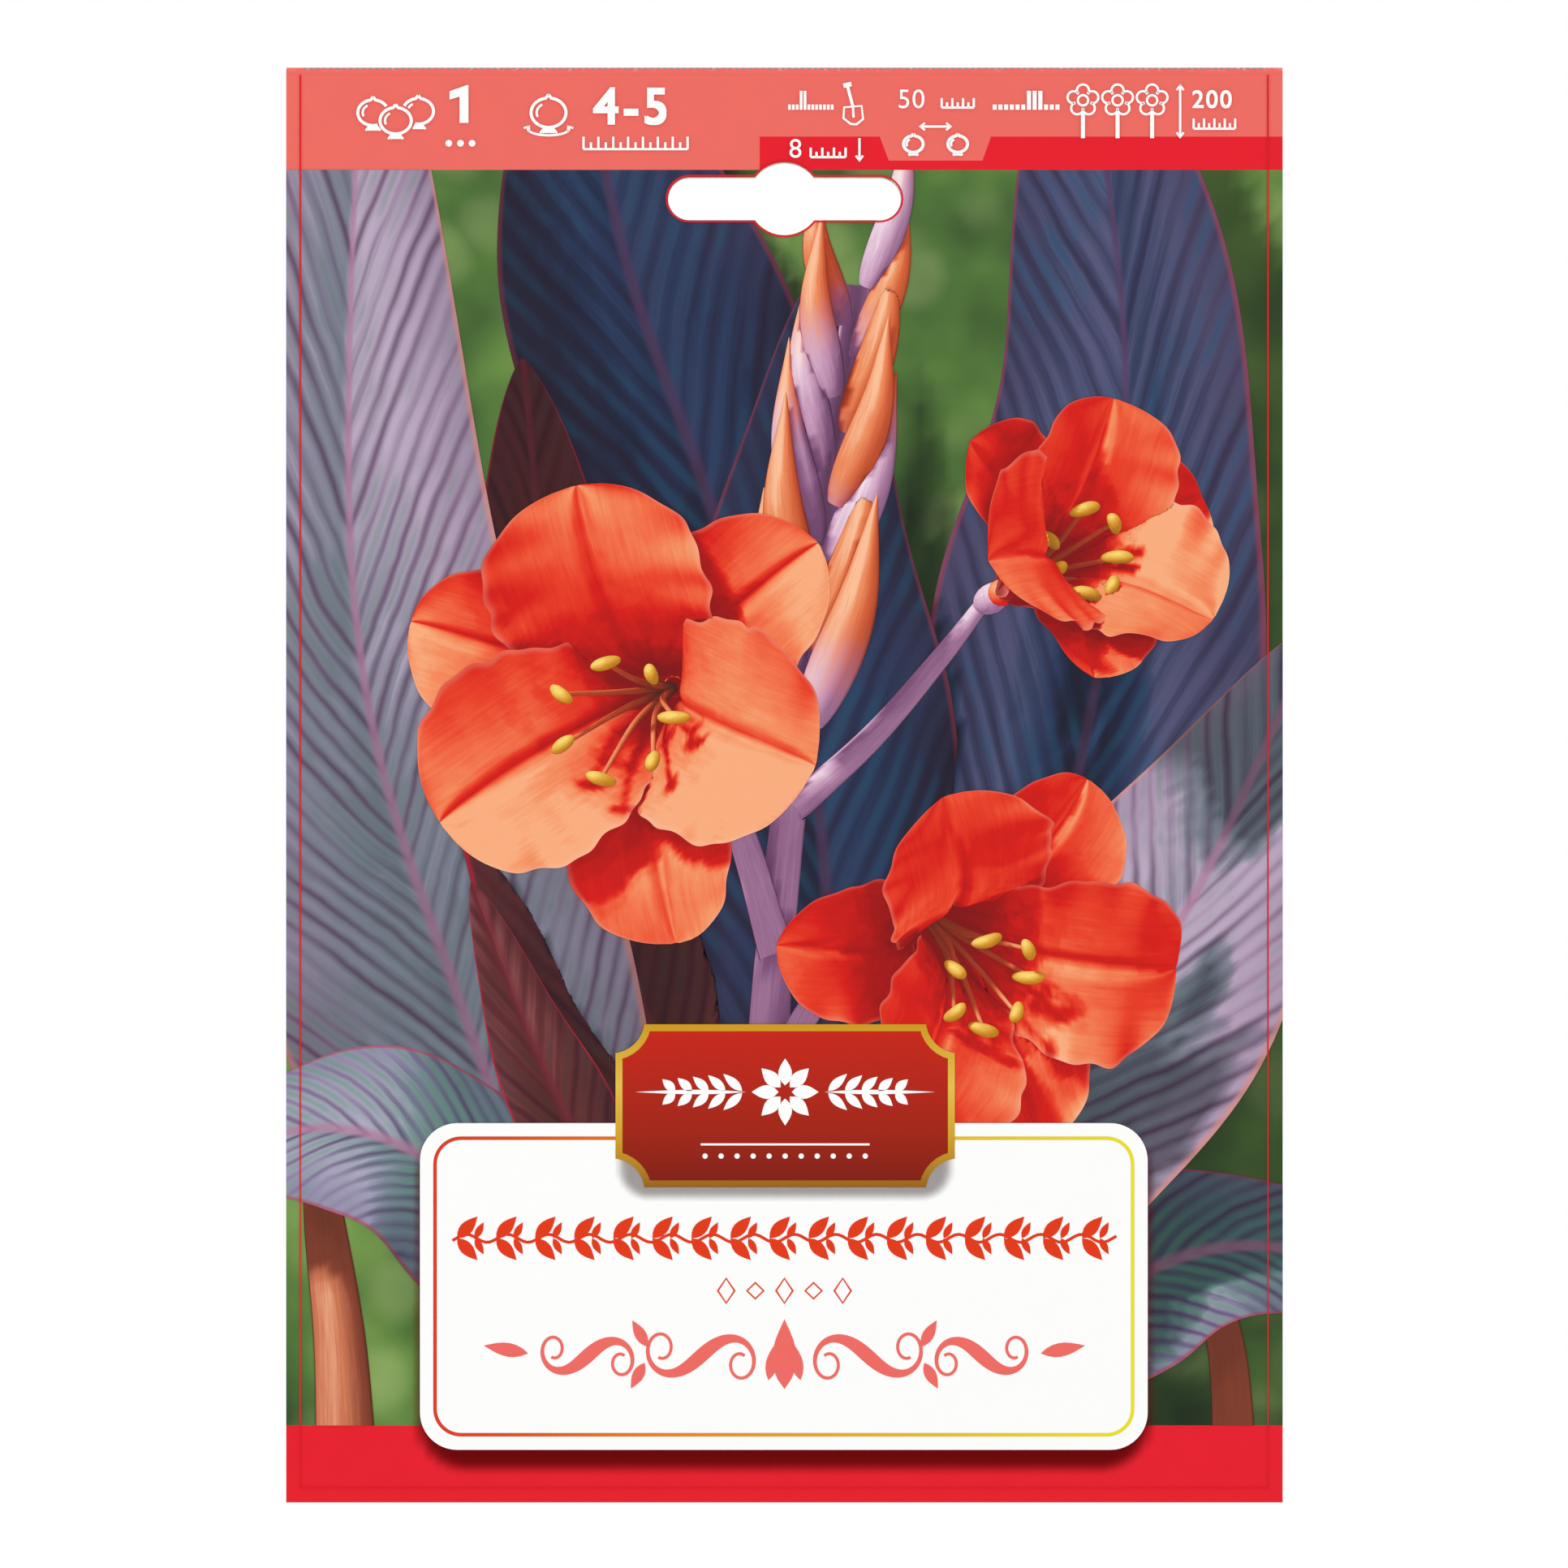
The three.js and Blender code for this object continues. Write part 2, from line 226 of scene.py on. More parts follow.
class Graph:
    """The node tree of one finish, built by short calls."""

    def __init__(self, name: str) -> None:
        """Starts the empty tree of a new material.

        Args:
            name: The material's name.
        """
        self.material = bpy.data.materials.new(name)
        self.material.use_nodes = True
        self.tree = self.material.node_tree
        self.tree.nodes.clear()

    def node(
        self, kind: str, feeds: dict[str | int, Feed] | None = None, out: str | int = 0, **settings: Feed
    ) -> Field:
        """Adds a node.

        Args:
            kind: The node's type, without its ShaderNode prefix.
            feeds: What goes into each input: a field, or a fixed value.
            out: The output that is wanted.
            settings: The node's own properties.

        Returns:
            The wanted output.
        """
        made = self.tree.nodes.new("ShaderNode" + kind)
        for key, value in settings.items():
            setattr(made, key, value)
        for key, value in (feeds or {}).items():
            if isinstance(value, Field):
                self.tree.links.new(value.socket, made.inputs[key])
            else:
                made.inputs[key].default_value = value
        return Field(self, made.outputs[out])

    def math(self, operation: str, *feeds: Feed, clamp: bool = False) -> Field:
        """A Math node's result."""
        return self.node("Math", dict(enumerate(feeds)), operation=operation, use_clamp=clamp)

    def mix(self, share: Feed, first: Feed, second: Feed) -> Field:
        """A blend of two colours."""
        return self.node("Mix", {0: share, 6: first, 7: second}, 2, data_type="RGBA")

    def place(self) -> Field:
        """The point's own place, in metres."""
        return self.node("TexCoord", out="Object")

    def axes(self) -> list[Field]:
        """The point's x, y and z in metres."""
        parts = self.node("SeparateXYZ", {0: self.place()}).socket.node
        return [Field(self, socket) for socket in parts.outputs]

    def read(self, *names: str) -> list[Field]:
        """The values of some of the mesh's own attributes."""
        return [self.node("Attribute", out="Fac", attribute_name=name) for name in names]

    def vector(self, x: Feed, y: Feed, z: Feed) -> Field:
        """Three values joined into a vector."""
        return self.node("CombineXYZ", {0: x, 1: y, 2: z})

    def noise(self, vector: Feed, scale: float, detail: float = 3.0, rough: float = 0.5) -> Field:
        """Smooth noise between 0 and 1."""
        feeds = {"Vector": vector, "Scale": scale, "Detail": detail, "Roughness": rough}
        return self.node("TexNoise", feeds)

    def cells(self, vector: Feed, scale: float, out: str = "Distance") -> Field:
        """Distance to the nearest of many scattered points, or that point's own colour."""
        return self.node("TexVoronoi", {"Vector": vector, "Scale": scale}, out)

    def ramp(self, share: Feed, stops: Stops) -> Field:
        """A value looked up in a row of colours.

        Args:
            share: The value, from 0 to 1.
            stops: The place and the colour of each stop.

        Returns:
            The colour.
        """
        made = self.node("ValToRGB", {0: share})
        elements = made.socket.node.color_ramp.elements
        for index, (place, colour) in enumerate(stops):
            element = elements[index] if index < 2 else elements.new(place)
            element.position = place
            element.color = colour
        return made

    def between(self, value: Feed, low: float, high: float) -> Field:
        """A smooth rise from 0 at low to 1 at high."""
        return self.node("MapRange", {0: value, 1: low, 2: high}, interpolation_type="SMOOTHSTEP")

    def bump(self, height: Feed, distance: float, strength: float = 1.0) -> Field:
        """A height turned into a bent normal."""
        return self.node("Bump", {"Height": height, "Distance": distance, "Strength": strength})

    def coats(self, colour: Feed, *coats: tuple[Feed, Feed]) -> Field:
        """Lays coats over a first colour.

        Args:
            colour: The first colour.
            coats: The share and the colour of each coat.

        Returns:
            The colour that shows.
        """
        for share, coat in coats:
            colour = self.mix(share, colour, coat)
        return colour

    def close(self, shader: Field) -> Material:
        """Feeds the shader to the surface and gives the finished material."""
        self.tree.links.new(shader.socket, self.tree.nodes.new("ShaderNodeOutputMaterial").inputs[0])
        return self.material

    def skin(self, colour: Feed, roughness: Feed, normal: Feed = None, gloss: float = 0.5) -> Material:
        """Ends the tree in one Principled surface.

        Args:
            colour: Its base colour.
            roughness: Its roughness.
            normal: Its bent normal, if it has one.
            gloss: Its specular level.

        Returns:
            The finished material.
        """
        feeds = {"Base Color": colour, "Roughness": roughness, "Specular IOR Level": gloss}
        if normal is not None:
            feeds["Normal"] = normal
        return self.close(self.node("BsdfPrincipled", feeds))


class Finish:
    """The look of a surface."""

    def material(self) -> Material:
        """Builds the material.

        Returns:
            The finished material.
        """
        raise NotImplementedError


@dataclass(frozen=True)
class Varnish:
    """The press varnish that lies over every ink: satin, with a faint pebbled surface."""

    roughness: float = 0.34
    spread: float = 0.12
    gloss: float = 0.14
    cloud: float = 30.0
    pebble: float = 900.0
    depth: float = 0.00002

    def over(self, graph: Graph, colour: Feed) -> Material:
        """Lays the varnish over a colour.

        Args:
            graph: The ink's node tree.
            colour: The ink's colour.

        Returns:
            The finished material.
        """
        place = graph.place()
        roughness = graph.noise(place, self.cloud) * self.spread + self.roughness
        normal = graph.bump(graph.noise(place, self.pebble, 2.0), self.depth)
        return graph.skin(colour, roughness, normal, self.gloss)


VARNISH = Varnish()


@dataclass(frozen=True)
class FlatInk(Finish):
    """A solid ink with the slight mottle of offset printing."""

    name: str
    colour: Colour
    mottle: float = 0.03
    grain: float = 260.0

    def material(self) -> Material:
        """Builds the material.

        Returns:
            The finished material.
        """
        graph = Graph(self.name)
        darker = (*(channel * (1 - self.mottle * 2) for channel in self.colour[:3]), 1.0)
        cloud = graph.noise(graph.place(), self.grain, 4.0)
        return VARNISH.over(graph, graph.mix(cloud, darker, self.colour))


@dataclass(frozen=True)
class BlendInk(Finish):
    """An ink that changes colour along one axis of the card, between a start and an end."""

    name: str
    axis: int
    start: float
    end: float
    stops: Stops

    def material(self) -> Material:
        """Builds the material.

        Returns:
            The finished material.
        """
        graph = Graph(self.name)
        share = (graph.axes()[self.axis] - self.start * MM) / ((self.end - self.start) * MM)
        return VARNISH.over(graph, graph.ramp(share, self.stops))


@dataclass(frozen=True)
class ShadeInk(Finish):
    """A printed drop shadow that fades out by the mesh's shade attribute."""

    name: str
    colour: Colour
    strength: float
    grain: float = 700.0

    def material(self) -> Material:
        """Builds the material.

        Returns:
            The finished material.
        """
        graph = Graph(self.name)
        shade = graph.read("shade")[0] * self.strength
        grained = shade + (graph.noise(graph.place(), self.grain, 2.0) - 0.5) * 0.05
        share = grained * graph.between(shade, 0.0, 0.06)
        paint = graph.node("BsdfDiffuse", {0: self.colour, 1: 0.5})
        return graph.close(graph.node("MixShader", {0: share, 1: graph.node("BsdfTransparent"), 2: paint}))


class BoardFinish(Finish):
    """Folding boxboard: coral ink outside and over the fold, raw grey-white fibre inside."""

    fibres = shades((0.25, 206, 201, 190), (0.6, 228, 224, 215), (0.8, 240, 237, 230))
    coral_dip = ink(232, 100, 91)
    dash_pitch = 0.9
    dash_ends = 66.4
    dash_height = 0.34
    flap_band = -27.4
    crest_foot = 17.3
    fold_wear = 0.5

    def material(self) -> Material:
        """Builds the material.

        Returns:
            The finished material.
        """
        graph = Graph("printed_board")
        x, y, z = graph.axes()
        place = graph.place()
        above = graph.math("MAXIMUM", z - CARD.fold_height * MM, 0.0)
        printed = (y * y + above * above) ** 0.5 > CARD.outer_face * MM
        fibre = graph.noise(graph.vector(x * 0.35, y, z), 2600.0, 4.0, 0.6)
        coral = graph.mix(graph.noise(place, 120.0, 4.0), self.coral_dip, CORAL)
        banded = graph.mix((z < self.flap_band * MM) * (y > 0.0), coral, BAND_RED)
        crest = graph.between(z, self.crest_foot * MM, CARD.top * MM)
        scuffs = graph.between(graph.noise(place, 900.0, 5.0, 0.7), 0.52, 0.72)
        inked = graph.mix(crest * scuffs * self.fold_wear, banded, BOARD)
        dash = graph.math("FRACT", x / (self.dash_pitch * MM)) > 0.5
        scored = dash * (z > (CARD.top - self.dash_height) * MM) * (abs(x) < self.dash_ends * MM)
        colour = graph.mix(printed, graph.ramp(fibre, self.fibres), graph.mix(scored, inked, SCORE_GREY))
        normal = graph.bump(fibre * (1.15 - printed), 0.00006)
        return graph.skin(colour, 0.86 - 0.42 * printed, normal, VARNISH.gloss)


# ---- making pieces


TO_METRES = Matrix.Scale(MM, 4)
UPRIGHT = Matrix.Rotation(math.pi / 2, 4, "X") @ TO_METRES
PRINT_FACE = Matrix.Translation((0.0, CARD.front * MM, 0.0)) @ UPRIGHT


def publish(
    name: str, bm: Mesh, place: Matrix, finishes: Sequence[Finish], smooth: bool = True
) -> bpy.types.Object:
    """Makes a piece that rides on the packet's body.

    Args:
        name: The piece's name.
        bm: Its mesh, in mm, which is freed.
        place: Takes the mesh's mm to the row's metres.
        finishes: Its finishes, in the order of the faces' indices.
        smooth: Whether its faces are shaded smooth.

    Returns:
        The new object.
    """
    bm.transform(place)
    bm.normal_update()
    for face in bm.faces:
        face.smooth = smooth
    mesh = bpy.data.meshes.new(name)
    bm.to_mesh(mesh)
    bm.free()
    for finish in finishes:
        mesh.materials.append(finish.material())
    piece = bpy.data.objects.new(name, mesh)
    bpy.context.scene.collection.objects.link(piece)
    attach(piece, "root")
    LOG.info("%s: %d faces", name, len(mesh.polygons))
    return piece


def print_on_card(name: str, bm: Mesh, finish: Finish, smooth: bool = False) -> None:
    """Publishes a layer of print, drawn flat, on the card's front, too thin to throw a shadow."""
    publish(name, bm, PRINT_FACE, [finish], smooth).visible_shadow = False


def dress(nodes: Sequence[str], finish: Finish) -> None:
    """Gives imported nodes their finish.

    Args:
        nodes: The nodes' names.
        finish: The finish that they share.
    """
    material = finish.material()
    for name in nodes:
        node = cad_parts[name]
        node.data.materials.clear()
        node.data.materials.append(material)
        LOG.info("%s: kept as packed", name)


# ---- flat shapes


def arc(centre: Sequence[float], radii: Sequence[float], start: float, end: float, steps: int) -> Path:
    """Points along an ellipse's arc.

    Args:
        centre: The ellipse's centre.
        radii: Its two radii.
        start: First angle in degrees, from the right and turning left.
        end: Last angle in degrees.
        steps: Number of straight steps.

    Returns:
        The points, both ends included.
    """
    turns = [math.radians(start + (end - start) * step / steps) for step in range(steps + 1)]
    return [(centre[0] + radii[0] * math.cos(a), centre[1] + radii[1] * math.sin(a)) for a in turns]


def disc(centre: Sequence[float], radius: float, steps: int) -> Path:
    """The points of a whole circle, anticlockwise."""
    return arc(centre, (radius, radius), 0, 360, steps)[:-1]


def slot_end(side: int, grow: float, steps: int) -> Path:
    """The slot's round end on one side, 1 for the right and -1 for the left, moved outwards."""
    half, turn = CARD.slot_height / 2, -90 * side
    return arc((side * (CARD.slot_length / 2 - half), 0), (half + grow,) * 2, turn, turn + 180, steps)


def slot_edge(grow: float) -> Path:
    """Draws the outline of the whole slot.

    Args:
        grow: How far it is moved outwards.

    Returns:
        The outline's points.
    """
    eye = CARD.eye_radius + grow
    dip = math.degrees(math.asin((CARD.slot_height / 2 + grow) / eye))
    over, under = (arc((0, 0), (eye, eye), turn + dip, turn + 180 - dip, 20) for turn in (0, 180))
    return slot_end(1, grow, 16) + over + slot_end(-1, grow, 16) + under


def cut_out(bm: Mesh, outline: Path) -> None:
    """Removes what lies inside an outline.

    Args:
        bm: A mesh drawn flat.
        outline: The outline's corners, convex and anticlockwise.
    """
    corners = [Vector((x, y, 0.0)) for x, y in outline]
    reaches = [(min(c[axis] for c in corners), max(c[axis] for c in corners)) for axis in (0, 1)]

    def near(face: bmesh.types.BMFace) -> bool:
        """Whether the face's box meets the outline's."""
        spans = [[vert.co[axis] for vert in face.verts] for axis in (0, 1)]
        return all(min(span) < high and max(span) > low for span, (low, high) in zip(spans, reaches))

    inside = [face for face in bm.faces if near(face)]
    for start, end in zip(corners, corners[1:] + corners[:1]):
        outwards = (end - start).cross(Vector((0, 0, 1))).normalized()
        around = dict.fromkeys(part for face in inside for part in (*face.edges, *face.verts))
        geom = [*inside, *around]
        cut = bmesh.ops.bisect_plane(bm, geom=geom, dist=1e-6, plane_co=start, plane_no=outwards)["geom"]
        faces = [part for part in cut if isinstance(part, bmesh.types.BMFace)]
        inside = [face for face in faces if (face.calc_center_median() - start).dot(outwards) < 0]
    bmesh.ops.delete(bm, geom=inside, context="FACES")


def punch_slot(bm: Mesh) -> None:
    """Punches the hang slot through a layer: the long round-ended part, then the eye."""
    cut_out(bm, slot_end(1, CARD.slot_margin, 14) + slot_end(-1, CARD.slot_margin, 14))
    cut_out(bm, disc((0, 0), CARD.eye_radius + CARD.slot_margin, 40))


def trim(bm: Mesh, box: Box) -> None:
    """Cuts away what lies outside an upright rectangle.

    Args:
        bm: A mesh drawn flat.
        box: The rectangle.
    """
    low, high = (box.left, box.bottom, 0), (box.right, box.top, 0)
    for corner, outwards in ((low, (-1, 0, 0)), (high, (1, 0, 0)), (low, (0, -1, 0)), (high, (0, 1, 0))):
        geom = [*bm.verts, *bm.edges, *bm.faces]
        bmesh.ops.bisect_plane(
            bm, geom=geom, dist=1e-6, plane_co=corner, plane_no=outwards, clear_outer=True
        )


def plate(box: Box, lift: float, corner: float = 0.0, cells: int = 1) -> Mesh:
    """A flat rectangle of print.

    Args:
        box: Its edges.
        lift: How far it stands out of the card.
        corner: The radius of its corners.
        cells: How many cells it has each way.

    Returns:
        The new mesh.
    """
    bm = bmesh.new()
    bmesh.ops.create_grid(bm, x_segments=cells, y_segments=cells, size=0.5)
    bmesh.ops.scale(bm, vec=(*box.size, 1), verts=bm.verts)
    bmesh.ops.translate(bm, vec=(*box.middle, lift), verts=bm.verts)
    if corner:
        rounding = {"offset": corner, "segments": 12, "profile": 0.5, "material": -1}
        bmesh.ops.bevel(bm, geom=bm.verts[:], affect="VERTICES", **rounding)
    return bm


def ring_of(bm: Mesh, thickness: float) -> Mesh:
    """Keeps only a border of a one-faced plate.

    Args:
        bm: The plate.
        thickness: The border's width.

    Returns:
        The same mesh.
    """
    inset = {"thickness": thickness, "use_even_offset": True, "use_boundary": True}
    border = set(bmesh.ops.inset_region(bm, faces=bm.faces[:], **inset)["faces"])
    bmesh.ops.delete(bm, geom=[face for face in bm.faces if face not in border], context="FACES")
    return bm


def flat_shape(corners: Path, lift: float = 0.0) -> Mesh:
    """Makes one flat face.

    Args:
        corners: Its corners, anticlockwise.
        lift: How far it stands out of the card.

    Returns:
        The new mesh.
    """
    bm = bmesh.new()
    bm.faces.new([bm.verts.new((x, y, lift)) for x, y in corners])
    return bm


def sheet(bm: Mesh, columns: int, rows: int) -> tuple[list[bmesh.types.BMVert], Array, Array]:
    """Adds a sheet of square cells.

    Args:
        bm: The mesh that it goes into.
        columns: Number of cells across it.
        rows: Number of cells up it.

    Returns:
        Its vertices, the place of each across it, from -1 to 1, and up it, from 0 to 1.
    """
    made = bmesh.ops.create_grid(bm, x_segments=columns, y_segments=rows, size=1.0)["verts"]
    flat = np.array([vert.co[:2] for vert in made])
    return made, flat[:, 0], (flat[:, 1] + 1) / 2


def move(verts: Sequence[bmesh.types.BMVert], places: Array) -> None:
    """Moves each vertex to its own place."""
    for vert, place in zip(verts, places):
        vert.co = place


def add_to(target: Mesh, *extras: Mesh) -> Mesh:
    """Moves other meshes into one and frees them.

    Args:
        target: The mesh that they go into.
        extras: The other meshes.

    Returns:
        The first mesh.
    """
    for extra in extras:
        mesh = bpy.data.meshes.new("extra")
        extra.to_mesh(mesh)
        extra.free()
        target.from_mesh(mesh)
        bpy.data.meshes.remove(mesh)
    return target


def evaluated(holder: bpy.types.Object) -> Mesh:
    """Takes an object's mesh, as its modifiers leave it, and removes the object.

    Args:
        holder: The object.

    Returns:
        The new mesh.
    """
    bpy.context.scene.collection.objects.link(holder)
    graph = bpy.context.evaluated_depsgraph_get()
    mesh = bpy.data.meshes.new_from_object(holder.evaluated_get(graph))
    bm = bmesh.new()
    bm.from_mesh(mesh)
    bpy.data.objects.remove(holder)
    bpy.data.meshes.remove(mesh)
    return bm


def meshed(curve: bpy.types.Curve) -> Mesh:
    """Turns a curve or a text into a mesh and removes it.

    Args:
        curve: The curve or the text.

    Returns:
        The new mesh.
    """
    bm = evaluated(bpy.data.objects.new(curve.name, curve))
    bpy.data.curves.remove(curve)
    return bm


def soft_shadow(box: Box, corner: float, soft: float, lift: float) -> Mesh:
    """A printed shadow whose shade attribute falls from 1 at a rounded rectangle to 0 outside it.

    Args:
        box: The rectangle's edges.
        corner: The radius of its corners.
        soft: How far out of it the shadow fades.
        lift: How far it stands out of the card.

    Returns:
        The new mesh.
    """
    bm = plate(box.grown(soft, soft, soft, soft), lift, cells=72)
    shade = bm.verts.layers.float.new("shade")
    middle = Vector((*box.middle, lift))
    for vert in bm.verts:
        away = [max(abs(off) - (side / 2 - corner), 0) for off, side in zip(vert.co - middle, box.size)]
        fade = min(1.0, max(0.0, 1 - (math.hypot(*away) - corner) / soft))
        vert[shade] = fade * fade * (3 - 2 * fade)
    return bm


class Pen:
    """Draws round lines on the card, which are pressed nearly flat."""

    flatness = 0.03

    def __init__(self) -> None:
        """Takes a clean sheet."""
        self.curve = bpy.data.curves.new("strokes", "CURVE")
        self.curve.dimensions = "3D"
        self.curve.bevel_depth = 1.0
        self.curve.bevel_resolution = 1
        self.curve.use_fill_caps = True

    def stroke(
        self, path: Sequence[Sequence[float]], width: float | list[float], closed: bool = False
    ) -> None:
        """Draws one line.

        Args:
            path: The points it passes through, on the card or in space.
            width: Its width, one for all or one for each point.
            closed: Whether it returns to its start.
        """
        spline = self.curve.splines.new("POLY")
        spline.points.add(len(path) - 1)
        widths = width if isinstance(width, list) else [width] * len(path)
        for point, (x, y, *z), across in zip(spline.points, path, widths):
            point.co = (x, y, *(z or (0,)), 1)
            point.radius = across / 2
        spline.use_cyclic_u = closed

    def lifted(self, lift: float) -> Mesh:
        """Gives the strokes as one nearly flat mesh.

        Args:
            lift: How far they stand out of the card.

        Returns:
            The new mesh.
        """
        bm = meshed(self.curve)
        bmesh.ops.remove_doubles(bm, verts=bm.verts, dist=1e-5)
        bmesh.ops.scale(bm, vec=(1, 1, self.flatness), verts=bm.verts)
        bmesh.ops.translate(bm, vec=(0, 0, lift), verts=bm.verts)
        return bm


def numerals(body: str, left: float, bottom: float, height: float, weight: float, lift: float) -> Mesh:
    """Plain figures of a given height, thickened by four shifted copies where they are bold.

    Args:
        body: The figures.
        left: Their left edge.
        bottom: Their foot.
        height: Their height.
        weight: How much each outline is thickened, as a share of the type size.
        lift: How far they stand out of the card.

    Returns:
        The new mesh.
    """
    text = bpy.data.curves.new("numerals", "FONT")
    text.body = body
    text.space_character = 1.06 + 4 * weight
    text.fill_mode = "FRONT"
    plain = meshed(text)
    low = [min(vert.co[axis] for vert in plain.verts) for axis in (0, 1)]
    size = height / (max(vert.co.y for vert in plain.verts) - low[1] + 2 * weight)
    shifts = ((0, 0), (2, 0), (0, 2), (2, 2)) if weight else ((0, 0),)
    bm = bmesh.new()
    for index, (right, up) in enumerate(shifts):
        shift = Matrix.Translation((right * weight - low[0], up * weight - low[1], 0))
        place = Matrix.Translation((left, bottom, lift + LIFT.step * index))
        copy = plain.copy()
        copy.transform(place @ Matrix.Scale(size, 4) @ shift)
        add_to(bm, copy)
    plain.free()
    return bm


def blade_outline(length: float, width: float) -> Path:
    """A pointed leaf's outline from (0, 0) to (length, 0), anticlockwise."""
    lower = [(length * s / 7, -width / 2 * math.sin(math.pi * (s / 7) ** 0.85)) for s in range(8)]
    return lower + [(x, -y) for x, y in reversed(lower[1:-1])]


def flat_blades(blades: Sequence[Sequence[float]], lift: float) -> Mesh:
    """Solid little leaves, at slightly different heights, so that crossing ones never coincide.

    Args:
        blades: The x, y, angle in degrees, length and width of each.
        lift: How far they stand out of the card.

    Returns:
        The new mesh.
    """
    bm = bmesh.new()
    for index, (x, y, angle, length, width) in enumerate(blades):
        blade = flat_shape(blade_outline(length, width))
        place = Matrix.Translation((x, y, lift + LIFT.step * (index % 4)))
        blade.transform(place @ Matrix.Rotation(math.radians(angle), 4, "Z"))
        add_to(bm, blade)
    return bm


# ---- header of the card


@dataclass
class Header:
    """The coral header, with planting pictograms drawn by one pen."""

    pen: Pen = field(default_factory=Pen)
    stroke: float = 0.42
    fine: float = 0.32
    squat: float = 0.84
    months: int = 12
    month_rows: tuple[float, float] = (12.2, 14.8)
    flower_row: float = 13.5
    ground_row: float = 8.3
    tab = ((14.33, 5.24), (27.2, 5.24), (28.37, CARD.band_top), (13.1, CARD.band_top))
    one = (
        (-46, 13.6), (-44.62, 14), (-44.62, 10.4), (-43.4, 10.4),
        (-43.4, 15.6), (-43.6, 15.6), (-46, 14.75),
    )
    figures = (
        ("4-5", -26.3, 10.1, 5.2, 0.024),
        ("8", 0.7, 5.6, 2.6, 0.0),
        ("50", 15.7, 12.4, 2.6, 0.0),
        ("200", 56.0, 12.4, 2.5, 0.016),
    )
    front_bulb = (-53.4, 10.7, 2.15)
    bulbs = ((front_bulb,), ((-32.4, 11.8, 2.4),), ((17.7, 7.5, 1.35),), ((23.8, 7.5, 1.35),))
    hidden_bulbs = (((-56.5, 11.8, 2.1), front_bulb), ((-50.3, 12.0, 2.1), front_bulb))
    rulers = (
        (-27.6, -13.3, 6.8, 1.7, 14),
        (3.6, 8.4, 5.7, 1.3, 6),
        (21.6, 26.0, 12.5, 1.3, 6),
        (56.2, 61.9, 9.6, 1.4, 8),
    )
    dots = ((-46.1, 7.6), (-44.5, 7.6), (-42.9, 7.6))
    flowers = ((41.0,), (45.75,), (50.5,))
    trowels = ((9.4, 15.5, 10.2),)
    arrows = (
        (arc((-32.4, 9.6), (2.85, 0.912), 158, 382, 26), 0.798),
        ([(10.3, 8.3), (10.3, 5.2)], 0.85, False),
        ([(18.6, 9.9), (22.9, 9.9)],),
        ([(54.35, 8.4), (54.35, 15.6)],),
    )
    strips = ((0.5, 6.9, range(3, 5)), (28.6, 38.0, range(6, 9)))

    def areas(self) -> None:
        """Prints the coral header, the red band and the tab that hangs into it."""
        ground = plate(CARD.zone(CARD.header_bottom, CARD.fold_height), LIFT.areas)
        low = Box(CARD.band_left, CARD.right, CARD.header_bottom, CARD.band_top)
        band = plate(low, LIFT.areas + LIFT.step)
        tab = flat_shape(self.tab, LIFT.areas + 2 * LIFT.step)
        areas = {"header_print": (ground, CORAL), "header_band": (band, BAND_RED), "header_tab": (tab, CORAL)}
        for name, (area, colour) in areas.items():
            punch_slot(area)
            print_on_card(name, area, FlatInk(f"{name}_ink", colour))

    def uncovered(self, path: Path, covers: Sequence[Place]) -> list[Path]:
        """Splits a line into the runs that no nearer bulb hides.

        Args:
            path: The line's points.
            covers: The x, y and size of each nearer bulb.

        Returns:
            The runs of two points or more.
        """
        runs: list[Path] = [[]]
        for px, py in path:
            reaches = [
                math.hypot((px - x) / (size + self.stroke), (py - y) / (size * self.squat + self.stroke))
                for x, y, size in covers
            ]
            if min(reaches, default=2) > 1:
                runs[-1].append((px, py))
            elif runs[-1]:
                runs.append([])
        return [run for run in runs if len(run) > 1]

    def bulb(self, spot: Place, *covers: Place) -> None:
        """Draws a squat bulb with a pointed tip, a highlight and a fan of roots.

        Args:
            spot: Its x and y, and half its width.
            covers: The same of each nearer bulb.
        """
        x, y, size = spot
        high = size * self.squat
        tip = (x, y + high * 1.24)
        lines = [([tip, *arc((x, y), (size, high), 99, 441, 60), tip], self.stroke)]
        lines.append((arc((x, y), (size * 0.68, high * 0.66), 122, 205, 9), self.fine))
        for lean in range(-3, 4):
            root = [(x + lean * size * 0.07, y - high), (x + lean * size * 0.16, y - high - size * 0.33)]
            lines.append((root, self.fine))
        for path, width in lines:
            for run in self.uncovered(path, covers):
                self.pen.stroke(run, width)

    def arrow(self, path: Path, barb: float = 0.85, both: bool = True) -> None:
        """Draws a straight or curved arrow.

        Args:
            path: Its points.
            barb: The length of its barbs.
            both: Whether it has a head at its start too.
        """
        self.pen.stroke(path, self.fine)
        back = min(3, len(path))
        heads = [(path[-back], path[-1]), (path[back - 1], path[0])]
        for before, tip in heads if both else heads[:1]:
            angle = math.atan2(tip[1] - before[1], tip[0] - before[0])
            ends = [
                (tip[0] - barb * math.cos(angle + turn), tip[1] - barb * math.sin(angle + turn))
                for turn in (0.6, -0.6)
            ]
            self.pen.stroke([ends[0], tip, ends[1]], self.fine)

